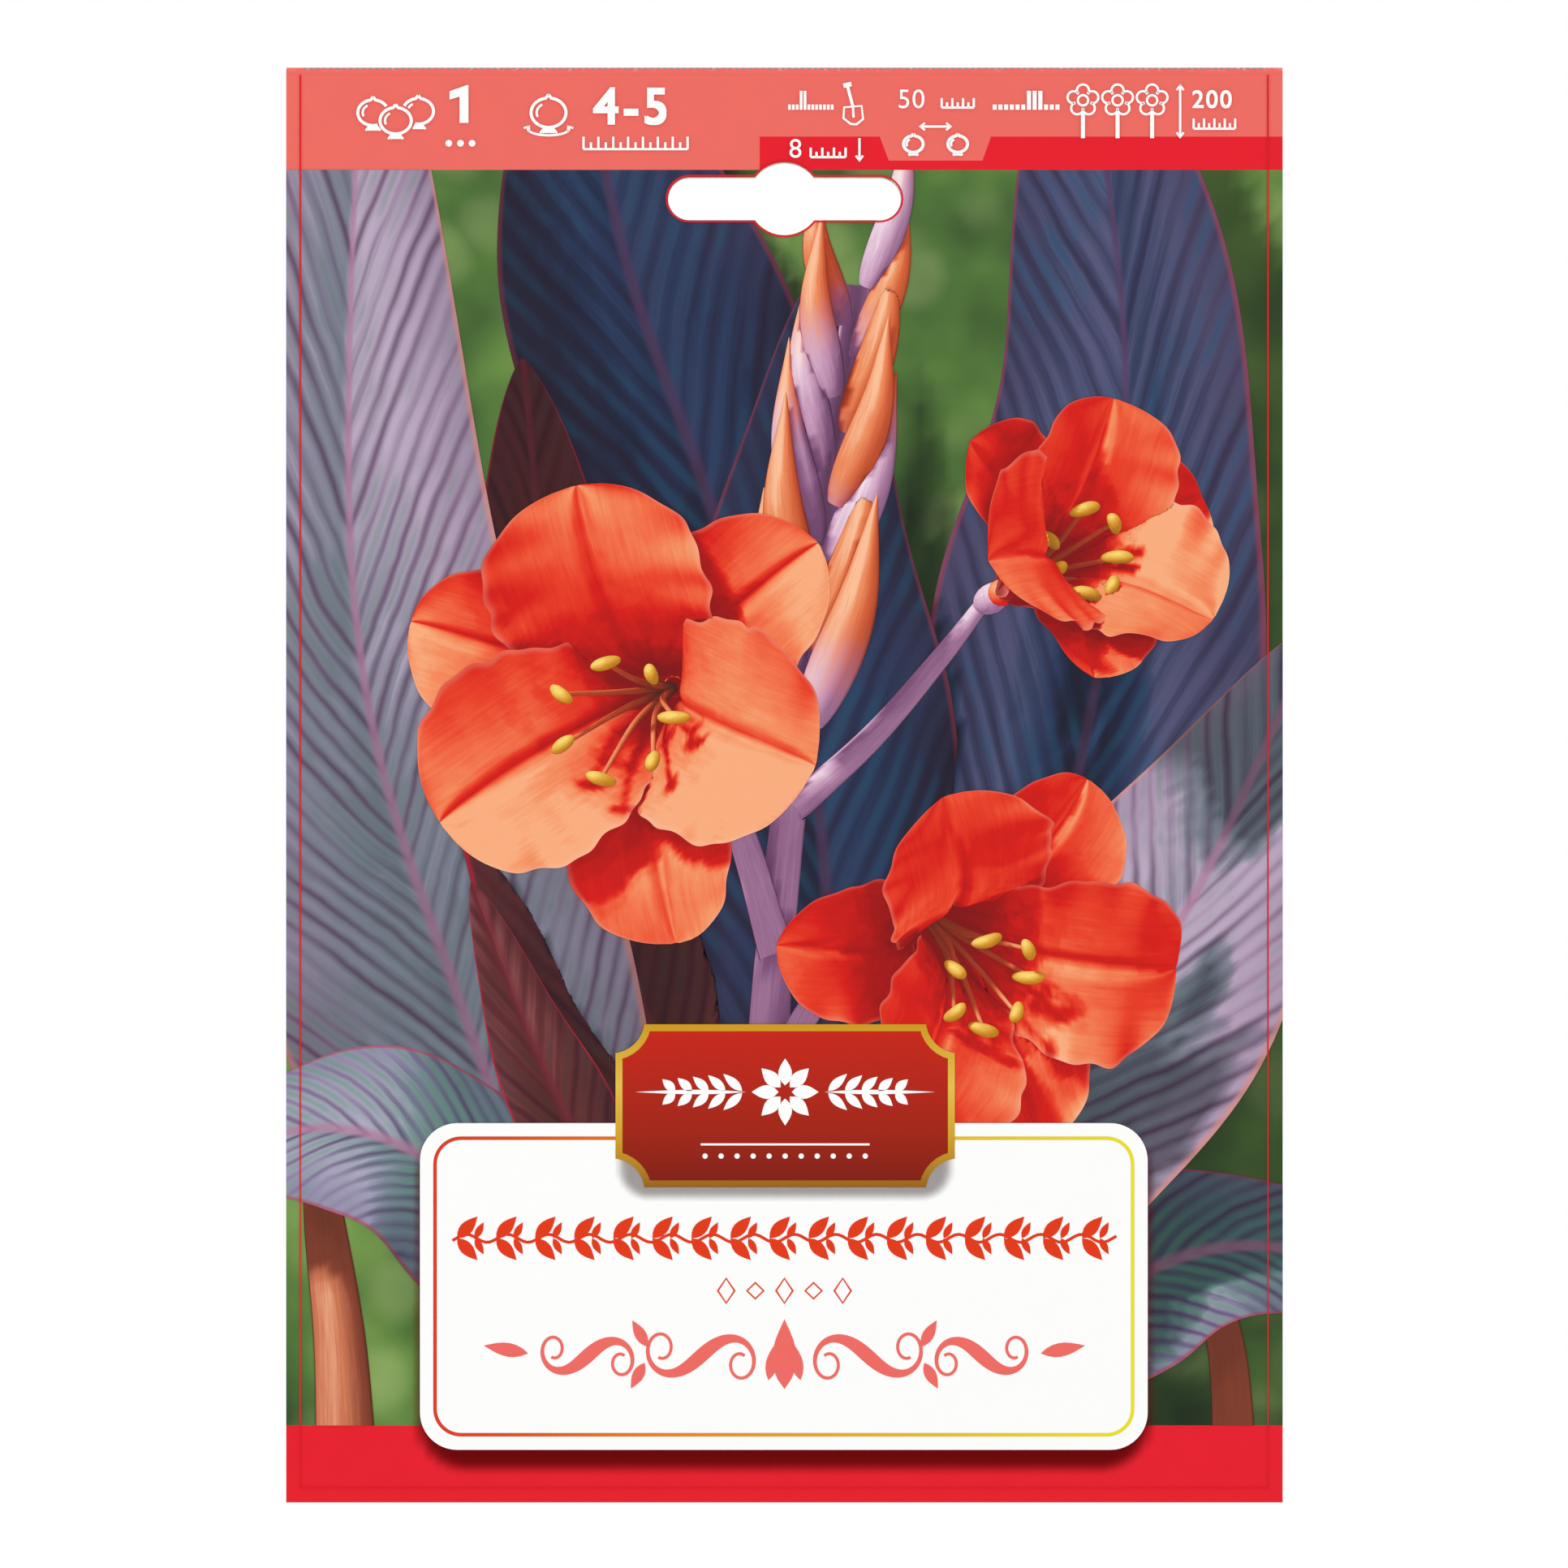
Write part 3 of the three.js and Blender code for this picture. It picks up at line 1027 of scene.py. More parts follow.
    def trowel(self, x: float, top: float, bottom: float) -> None:
        """Draws a hand trowel, handle up.

        Args:
            x: Its middle across the card.
            top: The height of its grip.
            bottom: The height of its tip.
        """
        neck = bottom + (top - bottom) * 0.46
        blade = [(x - 1.2, neck - 0.1), (x + 1.2, neck + 0.1), (x + 1.4, neck - 1.7), (x + 0.5, bottom)]
        blade += [(x - 0.3, bottom + 0.05), (x - 1.3, neck - 1.6)]
        self.pen.stroke(blade, self.fine, closed=True)
        self.pen.stroke([(x - 1.3, top), (x - 0.2, top + 0.25)], self.stroke * 1.5)
        self.pen.stroke([(x - 0.75, top), (x, neck)], self.stroke)
        self.pen.stroke([(x, neck), (x + 0.1, neck - 1.5)], self.fine)

    def flower(self, x: float) -> None:
        """Draws a flower with five round petals on a bare stem.

        Args:
            x: Its middle across the card.
        """
        y, reach, petal, eye = self.flower_row, 1.34, 0.84, 0.72
        for step in range(5):
            turn = TAU * step / 5 + math.pi / 2
            centre = (x + reach * math.cos(turn), y + reach * math.sin(turn))
            facing = math.degrees(turn)
            self.pen.stroke(arc(centre, (petal, petal), facing - 128, facing + 128, 16), self.fine)
        self.pen.stroke(arc((x, y), (eye, eye), 0, 330, 12), self.fine, closed=True)
        self.pen.stroke([(x, y - reach * 1.1), (x, self.ground_row)], self.stroke * 1.3)

    def ruler(self, left: float, right: float, base: float, tick: float, count: int) -> None:
        """Draws a scale with ticks, every second one longer.

        Args:
            left: Its left end.
            right: Its right end.
            base: The height of its line.
            tick: The length of a long tick.
            count: Number of spaces between ticks.
        """
        self.pen.stroke([(left, base), (right, base)], self.fine)
        for step in range(count + 1):
            x = left + (right - left) * step / count
            self.pen.stroke([(x, base), (x, base + tick * (0.55 if step % 2 else 1))], self.fine)

    def month_strip(self, left: float, right: float, chosen: range) -> list[Mesh]:
        """Makes twelve month boxes.

        Args:
            left: The left edge of the first.
            right: The end of the last one's space.
            chosen: The months whose boxes are tall.

        Returns:
            One mesh for each box.
        """
        low, high = self.month_rows
        step = (right - left) / self.months
        starts = [left + step * month for month in range(self.months)]
        tops = [high if month in chosen else low + (high - low) * 0.28 for month in range(self.months)]
        return [plate(Box(x, x + step * 0.72, low, top), LIFT.marks) for x, top in zip(starts, tops)]

    def build(self) -> None:
        """Prints the header's areas, then every white mark on them."""
        self.areas()
        marks = (
            (self.bulb, self.bulbs + self.hidden_bulbs),
            (self.ruler, self.rulers),
            (self.flower, self.flowers),
            (self.trowel, self.trowels),
            (self.arrow, self.arrows),
        )
        for draw, places in marks:
            for place in places:
                draw(*place)
        for dot in self.dots:
            self.pen.stroke(disc(dot, 0.24, 8), 0.5, closed=True)
        solid = [flat_shape(self.one, LIFT.marks)]
        solid += [numerals(*figure, LIFT.marks) for figure in self.figures]
        for strip in self.strips:
            solid += self.month_strip(*strip)
        white = add_to(self.pen.lifted(LIFT.marks), *solid)
        print_on_card("header_marks", white, FlatInk("white_ink", WHITE, 0.01))


# ---- panel, badge and lines


@dataclass
class Panel:
    """The white name panel with its gradient keyline and plain ornament."""

    box: Box = Box(-50.06, 49.89, -171.85, -126.98)
    corner: float = 5.13
    inset: float = 1.82
    line: float = 0.5
    heading: float = -142.8
    heading_ends: float = 45.6
    leaf_pairs: int = 17
    small_row: float = -150.0
    flourish_row: float = -158.9
    scroll_rise: float = 1.25
    blend = shades(
        (0.0, 218, 56, 28), (0.1, 210, 76, 28), (0.31, 227, 123, 27), (0.54, 226, 160, 33),
        (0.77, 228, 190, 40), (1.0, 234, 221, 36),
    )

    def ground(self) -> None:
        """Prints the foot band, the panel, its shadow and its keyline."""
        foot = plate(CARD.zone(CARD.bottom, CARD.foot_top), LIFT.areas)
        print_on_card("foot_band", foot, FlatInk("foot_red_ink", BAND_RED))
        shadow = soft_shadow(self.box.grown(-1.3, -1.3, 1.2, -2), self.corner, 2.4, LIFT.shadow)
        print_on_card("panel_shadow", shadow, ShadeInk("panel_shadow_ink", ink(112, 12, 14), 0.85))
        panel = plate(self.box, LIFT.panel, self.corner)
        print_on_card("name_panel", panel, FlatInk("panel_white_ink", WHITE, 0.008))
        inner = self.box.grown(*(-self.inset,) * 4)
        keyline = ring_of(plate(inner, LIFT.lines, self.corner - self.inset + 0.5), self.line)
        blend = BlendInk("keyline_blend_ink", 0, inner.left, inner.right, self.blend)
        print_on_card("panel_keyline", keyline, blend)

    def leaf_border(self) -> None:
        """Prints the running leaf border across the panel."""
        pen, steps, ends = Pen(), 160, self.heading_ends
        places = [ends * (2 * step / steps - 1) for step in range(steps + 1)]
        vine = [(x, self.heading + 0.55 * math.sin(TAU * x / ends * self.leaf_pairs / 2.1)) for x in places]
        pen.stroke(vine, 0.42)
        pitch = 2 * ends / self.leaf_pairs
        blades = []
        for index in range(self.leaf_pairs):
            x = -ends + pitch * (index + 0.12)
            for lean in (-1, 1):
                blades.append((x, self.heading, lean * 47, 4.1, 1.75))
                blades.append((x + pitch * 0.46, self.heading, lean * 62, 2.5, 1.0))
        border = add_to(pen.lifted(LIFT.marks), flat_blades(blades, LIFT.marks))
        print_on_card("leaf_border", border, FlatInk("heading_orange_ink", HEADING_ORANGE))

    def small_ornament(self) -> None:
        """Prints the small row of open lozenges under the border."""
        pen, row = Pen(), self.small_row
        for index in range(5):
            x, rise = -8.0 + 4.0 * index, 1.1 if index % 2 else 1.7
            pen.stroke([(x - 1.15, row), (x, row + rise), (x + 1.15, row), (x, row - rise)], 0.3, closed=True)
        print_on_card("lozenge_row", pen.lifted(LIFT.marks), FlatInk("lozenge_ink", ink(229, 70, 28)))

    def scroll(self, centre: float, lean: int, size: float) -> tuple[Path, list[float]]:
        """Draws an S-shaped scroll that winds up at both ends.

        Args:
            centre: Its middle, along the card.
            lean: 1, or -1 for the mirrored one.
            size: Its half length before it winds up.

        Returns:
            The points and the stroke's width at each.
        """
        count, reach = 180, 2.55
        step = 2 * reach / count
        x = y = 0.0
        path, widths = [], []
        for index in range(count + 1):
            run = -reach + step * index
            angle = run * run * 1.15 - 0.62
            path.append((x, y))
            widths.append(0.42 + 1.5 * math.exp(-((run / 0.85) ** 2)))
            x += math.cos(angle) * step
            y += math.sin(angle) * step
        (mx, my), wide, tall = path[count // 2], lean * size, size * self.scroll_rise
        placed = [(centre + wide * (px - mx), self.flourish_row + tall * (py - my)) for px, py in path]
        return placed, widths

    def flourish(self) -> None:
        """Prints the coral scrollwork low on the panel."""
        pen, row = Pen(), self.flourish_row
        blades = [(0, row - 4.6, 90, 9.6, 3.4)]
        for lean, facing in ((-1, 180), (1, 0)):
            for centre, size in ((11.4, 6.6), (27.0, 5.6)):
                pen.stroke(*self.scroll(lean * centre, lean, size))
            blades.append((lean * 2.2, row - 3.4, 90 + lean * 12, 5.4, 1.7))
            blades.append((lean * 18.8, row + 1.2, facing + lean * 60, 4.2, 1.6))
            blades.append((lean * 19.2, row - 1.0, facing - lean * 62, 4.0, 1.6))
            blades.append((lean * 35.2, row + 0.3, facing + lean * 10, 6.2, 1.9))
        work = add_to(pen.lifted(LIFT.marks), flat_blades(blades, LIFT.marks))
        print_on_card("flourish", work, FlatInk("flourish_coral_ink", ink(240, 107, 99)))

    def build(self) -> None:
        """Prints the whole panel."""
        for part in (self.ground, self.leaf_border, self.small_ornament, self.flourish):
            part()


@dataclass
class Badge:
    """The dark red ticket with a gold rim that sits on the panel's upper edge."""

    middle: float = 0.1
    height: float = -124.6
    half_width: float = 23.3
    half_height: float = 11.2
    bite: float = 4.6
    bite_out: float = 0.6
    rim: float = 0.95
    gold = shades((0.0, 150, 96, 14), (0.3, 208, 158, 34), (0.62, 226, 190, 74), (1.0, 203, 150, 20))
    red = shades((0.0, 122, 20, 3), (0.35, 160, 30, 5), (1.0, 200, 32, 14))

    def box(self, wider: float = 0.0, higher: float = 0.0) -> Box:
        """The ticket's edges, moved outwards."""
        wide, high = self.half_width + wider, self.half_height + higher
        return Box(self.middle - wide, self.middle + wide, self.height - high, self.height + high)

    def ticket(self, grow: float, lift: float) -> Mesh:
        """A rectangle with its four corners bitten off round.

        Args:
            grow: How much larger than the badge it is on each side.
            lift: How far it stands out of the card.

        Returns:
            The new mesh.
        """
        bm = plate(self.box(grow, grow), lift)
        corners = self.box(self.bite_out, self.bite_out)
        for x in (corners.left, corners.right):
            for y in (corners.bottom, corners.top):
                cut_out(bm, disc((x, y), self.bite - grow, 32))
        return bm

    def rosette(self, lift: float) -> Mesh:
        """Makes the rosette, its two sprigs and the dotted rule under them.

        Args:
            lift: How far they stand out of the card.

        Returns:
            The new mesh.
        """
        row, rule = self.height + 1.9, self.height - 5.3
        ring = arc((self.middle, row), (0.9, 0.9), 0, 315, 7)
        blades = [(x, y, 45 * step, 3.7, 1.9) for step, (x, y) in enumerate(ring)]
        for lean, facing in ((-1, 180), (1, 0)):
            for step in range(5):
                x, size = self.middle + lean * (5.9 + 2.3 * step), 3.5 - 0.28 * step
                blades.append((x, row + 0.15, facing + lean * 42, size, 1.25))
                blades.append((x, row - 0.15, facing - lean * 42, size, 1.25))
            blades.append((self.middle + lean * 5.4, row, facing, 15.2, 0.62))
        pen = Pen()
        pen.stroke([(self.middle - 11.6, rule), (self.middle + 11.6, rule)], 0.28)
        for step in range(-5, 6):
            pen.stroke(disc((self.middle + step * 2.2, rule - 1.6), 0.2, 8), 0.36, closed=True)
        return add_to(flat_blades(blades, lift), pen.lifted(lift))

    def build(self) -> None:
        """Prints the badge, its shadow and its plain rosette."""
        edges = self.box()
        shadow = soft_shadow(edges.grown(-1.6, -1.6, 0.4, -4), 3.0, 1.8, LIFT.badge_shadow)
        print_on_card("badge_shadow", shadow, ShadeInk("badge_shadow_ink", ink(70, 30, 20), 0.45))
        rim, face = (self.ticket(-self.rim * index, LIFT.badge + LIFT.step * index) for index in (0, 1))
        for name, part, stops in (("badge_rim", rim, self.gold), ("badge_face", face, self.red)):
            print_on_card(name, part, BlendInk(f"{name}_ink", 2, edges.bottom, edges.top, stops))
        white = self.rosette(LIFT.badge + 2 * LIFT.step)
        print_on_card("badge_rosette", white, FlatInk("rosette_white_ink", WHITE, 0.01))


@dataclass
class Keylines:
    """The thin red line down both sides, along the foot and round the slot."""

    width: float = 0.24
    left_inset: float = 1.95
    right_inset: float = 2.05
    foot_inset: float = 2.0
    start: float = 18.0
    round_slot: float = 0.2

    def build(self) -> None:
        """Prints the lines."""
        pen = Pen()
        left, right = CARD.left + self.left_inset, CARD.right - self.right_inset
        foot = CARD.bottom + self.foot_inset
        pen.stroke([(left, self.start), (left, foot), (right, foot), (right, self.start)], self.width)
        pen.stroke(slot_edge(self.round_slot), self.width, closed=True)
        lines = pen.lifted(LIFT.keylines)
        trim(lines, CARD.zone(CARD.bottom, CARD.fold_height))
        punch_slot(lines)
        print_on_card("keylines", lines, FlatInk("keyline_ink", KEYLINE_RED))


# ---- growths of the picture


def unit(rows: Array) -> Array:
    """Each row scaled to length 1."""
    return rows / np.maximum(np.linalg.norm(rows, axis=-1, keepdims=True), 1e-9)


def times(rows: Array, amounts: Array) -> Array:
    """Rows, or one row for all, each multiplied by its own amount."""
    return rows * amounts[:, None]


def through(points: Array, share: Array) -> Array:
    """Points of a smooth curve through control points.

    Args:
        points: The control points, one a row.
        share: How far along each wanted point is, from 0 to 1.

    Returns:
        One point for each share.
    """
    ends = np.vstack([2 * points[0] - points[1], points, 2 * points[-1] - points[-2]])
    place = np.clip(share, 0, 1) * (len(points) - 1)
    index = np.minimum(place.astype(int), len(points) - 2)
    t = (place - index)[:, None]
    a, b, c, d = (ends[index + k] for k in range(4))
    cubic = (2 * a - 5 * b + 4 * c - d) * t**2 + (3 * b - a - 3 * c + d) * t**3
    return 0.5 * (2 * b + (c - a) * t + cubic)


def along_spine(spine: Sequence[Place], along: Array) -> Pair:
    """Follows a growth's spine.

    Args:
        spine: The points it runs through.
        along: How far along each wanted place is, from 0 to 1.

    Returns:
        The places, and the spine's direction at each.
    """
    points = np.array(spine, float)
    return through(points, along), unit(through(points, along + 0.01) - through(points, along - 0.01))


class Layer(Enum):
    """The parts of the picture that share an ink."""

    GARDEN = "garden"
    SLATE = "slate_leaves"
    NAVY = "navy_leaves"
    MAROON = "maroon_leaves"
    GREEN = "green_leaves"
    PETALS = "petals"
    BUDS = "buds"
    STALKS = "stalks"
    FILAMENTS = "filaments"
    ANTHERS = "anthers"
    CANES = "canes"


class Growth:
    """One leaf, petal or shoot, in mm: x to the right, y up, z towards the eye."""

    rows: int
    columns: int

    def points(self, along: Array, across: Array) -> Array:
        """Works out the surface's places.

        Args:
            along: How far along the growth each is, from 0 to 1.
            across: How far across it each is, from -1 to 1.

        Returns:
            One place for each pair of shares.
        """
        raise NotImplementedError

    def marks(self, along: Array, across: Array) -> Pair:
        """How many mm each place is along the growth and across it, for the inks: 0 by default."""
        return along * 0, across * 0


@dataclass(frozen=True)
class Leaf(Growth):
    """A broad leaf along a curved midrib: a shallow fold, arched margins and a slow ripple."""

    spine: tuple[Place, ...]
    half_width: float
    facing: Place
    fold: float = 0.3
    ripple: float = 0.07
    waves: float = 3.0
    arch = 0.25
    widest = 0.85
    rows, columns = 76, 30

    def half(self, along: Array) -> Array:
        """Half the leaf's width along it."""
        return self.half_width * np.sin(np.pi * np.clip(along, 0.001, 0.999) ** self.widest) ** 0.72

    def points(self, along: Array, across: Array) -> Array:
        """The blade's place at each pair of shares.

        Args:
            along: How far along the growth each is, from 0 to 1.
            across: How far across it each is, from -1 to 1.

        Returns:
            One place for each pair of shares.
        """
        middle, way = along_spine(self.spine, along)
        facing = np.array(self.facing, float)
        face = unit(facing - times(way, way @ facing))
        half = self.half(along)
        off = half * across
        edge = np.sin(TAU * self.waves * along + 2.1 * np.sign(across)) * across**2 * half * self.ripple
        rise = np.abs(off) * math.sin(self.fold) - self.arch * half * across**2 + edge
        return middle + times(np.cross(way, face), off * math.cos(self.fold)) + times(face, rise)

    def marks(self, along: Array, across: Array) -> Pair:
        """How far a place is up the midrib and out from it."""
        length = np.linalg.norm(np.diff(np.array(self.spine, float), axis=0), axis=1).sum()
        return along * length, self.half(along) * across


@dataclass(frozen=True)
class Petal(Growth):
    """A petal that leaves its bloom's throat and curls back."""

    throat: Place
    axis: Place
    roll: float
    length: float
    half_width: float
    opens: tuple[float, float]
    cup: float
    ruffle: float
    phase: float
    twist: float
    lead: float
    lead_by = 0.3
    claw = 1.3
    rows, columns = 84, 36

    def half(self, along: Array) -> Array:
        """Works out half the petal's width: a narrow claw, a broad middle and a blunt tip.

        Args:
            along: How far along it each wanted place is.

        Returns:
            Half the width at each.
        """
        share = np.clip(along, 0.001, 0.999)
        ragged = 1 + 0.02 * np.sin(31 * share + 5 * self.phase) + 0.015 * np.sin(57 * share + self.phase)
        return self.half_width * 1.4 * share**0.62 * (1 - share**4.2) ** 0.62 * ragged

    def bend(self, share: Array) -> Array:
        """How far the petal has opened from the bloom's axis, as an angle."""
        return self.opens[0] + (self.opens[1] - self.opens[0]) * share**1.25

    def spine(self, axis: Array, outwards: Array, share: Array) -> Array:
        """The petal's middle line, which bends in one plane through the bloom's axis.

        Args:
            axis: The bloom's direction.
            outwards: The petal's own direction away from it.
            share: How far along each wanted place is.

        Returns:
            The places.
        """
        table = np.linspace(0, 1, 97)
        turns = (np.cos(self.bend(table)), np.sin(self.bend(table)))
        runs = (np.concatenate([[0], np.cumsum((turn[1:] + turn[:-1]) / 2)]) / 96 for turn in turns)
        forward, sideways = (self.length * np.interp(share, table, run) for run in runs)
        lead = self.lead * np.clip(share / self.lead_by, 0, 1)
        start = np.array(self.throat, float) + times(axis, lead + forward)
        return start + times(outwards, self.claw + sideways)

    def points(self, along: Array, across: Array) -> Array:
        """The petal's place at each pair of shares: cupped, ruffled and twisted on its spine.

        Args:
            along: How far along the growth each is, from 0 to 1.
            across: How far across it each is, from -1 to 1.

        Returns:
            One place for each pair of shares.
        """
        axis = unit(np.array(self.axis, float))
        aside = unit(np.cross(axis, (0.0, 1.0, 0.05)))
        outwards = math.cos(self.roll) * aside + math.sin(self.roll) * np.cross(aside, axis)
        across_way = np.cross(outwards, axis)
        share = np.clip(along, 0, 1)
        bend, turn = self.bend(share), self.twist * share**2
        inner = times(axis, np.sin(bend)) - times(outwards, np.cos(bend))
        side = times(across_way, np.cos(turn)) + times(inner, np.sin(turn))
        face = times(inner, np.cos(turn)) - times(across_way, np.sin(turn))
        wave = np.sin(TAU * 2.3 * share + self.phase + 1.7 * np.sign(across)) * share
        fine = np.sin(TAU * 6.1 * share + 3 * self.phase + np.sign(across)) * 0.3 * share
        ruffle = self.ruffle * (wave + fine) * np.abs(across) ** 2.4
        rise = self.cup * across**2 + ruffle - 0.09 * np.exp(-((across / 0.09) ** 2))
        half = self.half(along)
        middle = self.spine(axis, outwards, share)
        return middle + times(side, half * across * 0.96) + times(face, half * rise)

    def marks(self, along: Array, across: Array) -> Pair:
        """How far a place is up the petal and out from its middle."""
        return along * self.length, self.half(along) * across


class Taper(Enum):
    """How a round shoot's radius changes along it."""

    BUD = "bud"
    STEM = "stem"
    THREAD = "thread"
    ANTHER = "anther"


@dataclass(frozen=True)
class Shoot(Growth):
    """A round growth, such as a bud, a stem, a stamen or its anther."""

    spine: tuple[Place, ...]
    radius: float
    taper: Taper = Taper.STEM
    rows, columns = 30, 14

    def girth(self, along: Array) -> Array:
        """Works out the radius along the shoot.

        Args:
            along: How far along it each wanted place is.

        Returns:
            The radius at each.
        """
        share = np.clip(along, 0.0, 1.0)
        if self.taper is Taper.BUD:
            return self.radius * (0.5 + 0.5 * np.sin(np.pi * share**0.7)) * (1 - share**2.2) ** 0.8 + 0.05
        if self.taper is Taper.ANTHER:
            return self.radius * np.sqrt(np.clip(1 - (2 * share - 1) ** 2, 0.004, 1))
        return self.radius * (1 - (0.45 if self.taper is Taper.THREAD else 0.5) * share)

    def points(self, along: Array, across: Array) -> Array:
        """The skin's place, once round the spine.

        Args:
            along: How far along the growth each is, from 0 to 1.
            across: How far across it each is, from -1 to 1.

        Returns:
            One place for each pair of shares.
        """
        middle, way = along_spine(self.spine, along)
        side = unit(np.cross(way, (0.13, 0.07, 1.0)))
        angle = across * np.pi
        round_it = times(side, np.sin(angle)) + times(np.cross(side, way), np.cos(angle))
        return middle + times(round_it, self.girth(along))

    def marks(self, along: Array, across: Array) -> Pair:
        """How far a place is up the shoot and round it."""
        return along * 30, across * self.radius * 3


class Backdrop(Growth):
    """The far garden: an upright plane behind every leaf."""

    depth = -66.0
    rows, columns = 110, 88

    def points(self, along: Array, across: Array) -> Array:
        """The plane's place, over the whole picture.

        Args:
            along: How far along the growth each is, from 0 to 1.
            across: How far across it each is, from -1 to 1.

        Returns:
            One place for each pair of shares.
        """
        x = (CARD.right - CARD.left) / 2 * across
        y = CARD.foot_top + (CARD.header_bottom - CARD.foot_top) * along
        return np.column_stack([x, y, np.full(len(x), self.depth)])


Planting = list[tuple[Layer, Growth]]


@dataclass
class Sprouted:
    """A growth with its vertices in its layer's mesh."""

    layer: Layer
    growth: Growth
    verts: list[bmesh.types.BMVert]
    along: Array
    across: Array
    places: Array
    normals: Array
    tone: float

    def quads(self, first: int) -> list[tuple[int, ...]]:
        """Lists the growth's faces.

        Args:
            first: The number of its first vertex.

        Returns:
            The numbers of each face's corners.
        """
        wide = self.growth.columns + 1
        corners = (i for i in range(len(self.places) - wide) if i % wide != wide - 1)
        return [(first + i, first + i + 1, first + i + wide + 1, first + i + wide) for i in corners]


class Sunlight:
    """Works out how bright each point of the picture is, as sun and sky would light it."""

    sun = unit(np.array([-0.5, 0.62, 0.62]))
    shine = unit(sun + np.array([0.0, 0.0, 1.0]))
    shine_power = 14
    sun_spread = 0.07
    sun_rays = 6
    sky_rays = 24
    sky_reach = 32.0
    sky_edge = 0.12
    bounce = 0.8
    start = 0.45

    def __init__(self, grown: Sequence[Sprouted]) -> None:
        """Gathers every growth into one tree for the rays, and aims them.

        Args:
            grown: Every growth of the picture.
        """
        points: list[Vector] = []
        quads: list[tuple[int, ...]] = []
        for sprouted in grown:
            quads += sprouted.quads(len(points))
            points += map(Vector, sprouted.places)
        self.tree = BVHTree.FromPolygons(points, quads)
        draw = random.Random(5)
        jitters = [np.array([draw.uniform(-1, 1) for _ in range(3)]) for _ in range(self.sun_rays)]
        self.suns = [Vector(self.sun + jitter * self.sun_spread).normalized() for jitter in jitters]
        self.skies = []
        for index in range(self.sky_rays):
            height, turn = 1 - (2 * index + 1) / self.sky_rays, math.pi * (3 - math.sqrt(5)) * index
            wide = math.sqrt(1 - height * height)
            self.skies.append(Vector((wide * math.cos(turn), wide * math.sin(turn), height)))

    def reached(self, origin: Vector) -> float:
        """The share of the sun's rays that reach a point."""
        return sum(self.tree.ray_cast(origin, ray)[0] is None for ray in self.suns) / len(self.suns)

    def at(self, place: Array, normal: Array) -> tuple[float, ...]:
        """Works out the light at one point.

        Args:
            place: The point.
            normal: The way its surface faces.

        Returns:
            The light from the sun, through the blade, from the open sky, and as a shine.
        """
        spot, facing = Vector(place), Vector(normal)
        origin, lean = spot + facing * self.start, facing.dot(Vector(self.sun))
        sun = self.reached(origin)
        through_blade = -lean * self.reached(spot - facing * self.start) if lean < 0 else 0.0
        seen = total = 0.0
        for ray in self.skies:
            weight = facing.dot(ray)
            if weight > self.sky_edge:
                far = self.tree.ray_cast(origin, ray, self.sky_reach)[3]
                total += weight
                seen += weight * (1.0 if far is None else far / self.sky_reach * self.bounce)
        shine = sun * max(0.0, facing.dot(Vector(self.shine))) ** self.shine_power
        return max(0.0, lean) * sun, through_blade, seen / max(total, 1e-6), shine


@dataclass(frozen=True)
class LeafInk(Finish):
    """The inks of one kind of leaf, from its deepest shade to its highlight."""

    name: str
    stops: Stops
    vein: Colour
    rib: Colour
    edge: Colour
    fresh: Colour
    margin: Colour
    pitch: float = 5.6
    vein_depth: float = 0.66
    slant = 2.1
    hairline = ink(58, 30, 58)
    fresh_shade, rib_shade, edge_shade = ink(10, 26, 30), ink(40, 14, 30), ink(60, 8, 20)

    def material(self) -> Material:
        """Builds the material: light gives the tone, veins run out and up from the midrib.

        Returns:
            The finished material.
        """
        graph = Graph(self.name)
        light, run, off, tone, across = graph.read("light", "run", "off", "tone", "across")
        across, out = abs(across), abs(off)
        patch = graph.noise(graph.vector(run, off, tone * 40.0), 0.06)
        sway = graph.noise(graph.vector(run, off * 0.6, tone * 23.0), 0.13, 2.0)
        phase = (run - out**0.96 * self.slant + (patch - 0.5) * 5.0 + (sway - 0.5) * 1.2) / self.pitch
        ridge = graph.math("COSINE", phase * TAU)
        dip = 0.5 - ridge * 0.5
        own = graph.noise(graph.vector(phase * 0.62, out * 0.05, tone * 9.0), 1.0, 2.0)
        strong = graph.between(own, 0.36, 0.66)
        streak = graph.noise(graph.vector(phase * 3.2, out * 0.06, tone), 1.7, 5.0, 0.6)
        bright = light * (1.0 + ridge * 0.07 + (streak - 0.5) * 0.5 + across**3.0 * 0.12)
        lit = graph.math("MULTIPLY", light, 1.1, clamp=True)
        fresh = graph.between(patch, 0.42, 0.6) * graph.math("MULTIPLY", ridge + 0.2, 0.5, clamp=True)
        band = dip**1.6 * (0.25 + strong * 0.75) * self.vein_depth
        line = dip**9.0 * strong * streak * (self.vein_depth * 0.8)
        rib = 1.0 - graph.between(out / (1.9 - run * 0.007), 0.2, 1.0)
        coats = (
            (graph.between(across, 0.3, 0.95) * 0.5, DEEP_SHADE, self.margin),
            (fresh, self.fresh_shade, self.fresh),
            (band, DEEP_SHADE, self.vein),
            (line, DEEP_SHADE, self.hairline),
            (rib * 0.75, self.rib_shade, self.rib),
            (graph.between(across, 0.95, 0.985) * 0.7, self.edge_shade, self.edge),
        )
        lit_coats = [(share, graph.mix(lit, shade, colour)) for share, shade, colour in coats]
        return VARNISH.over(graph, graph.coats(graph.ramp(bright, self.stops), *lit_coats))


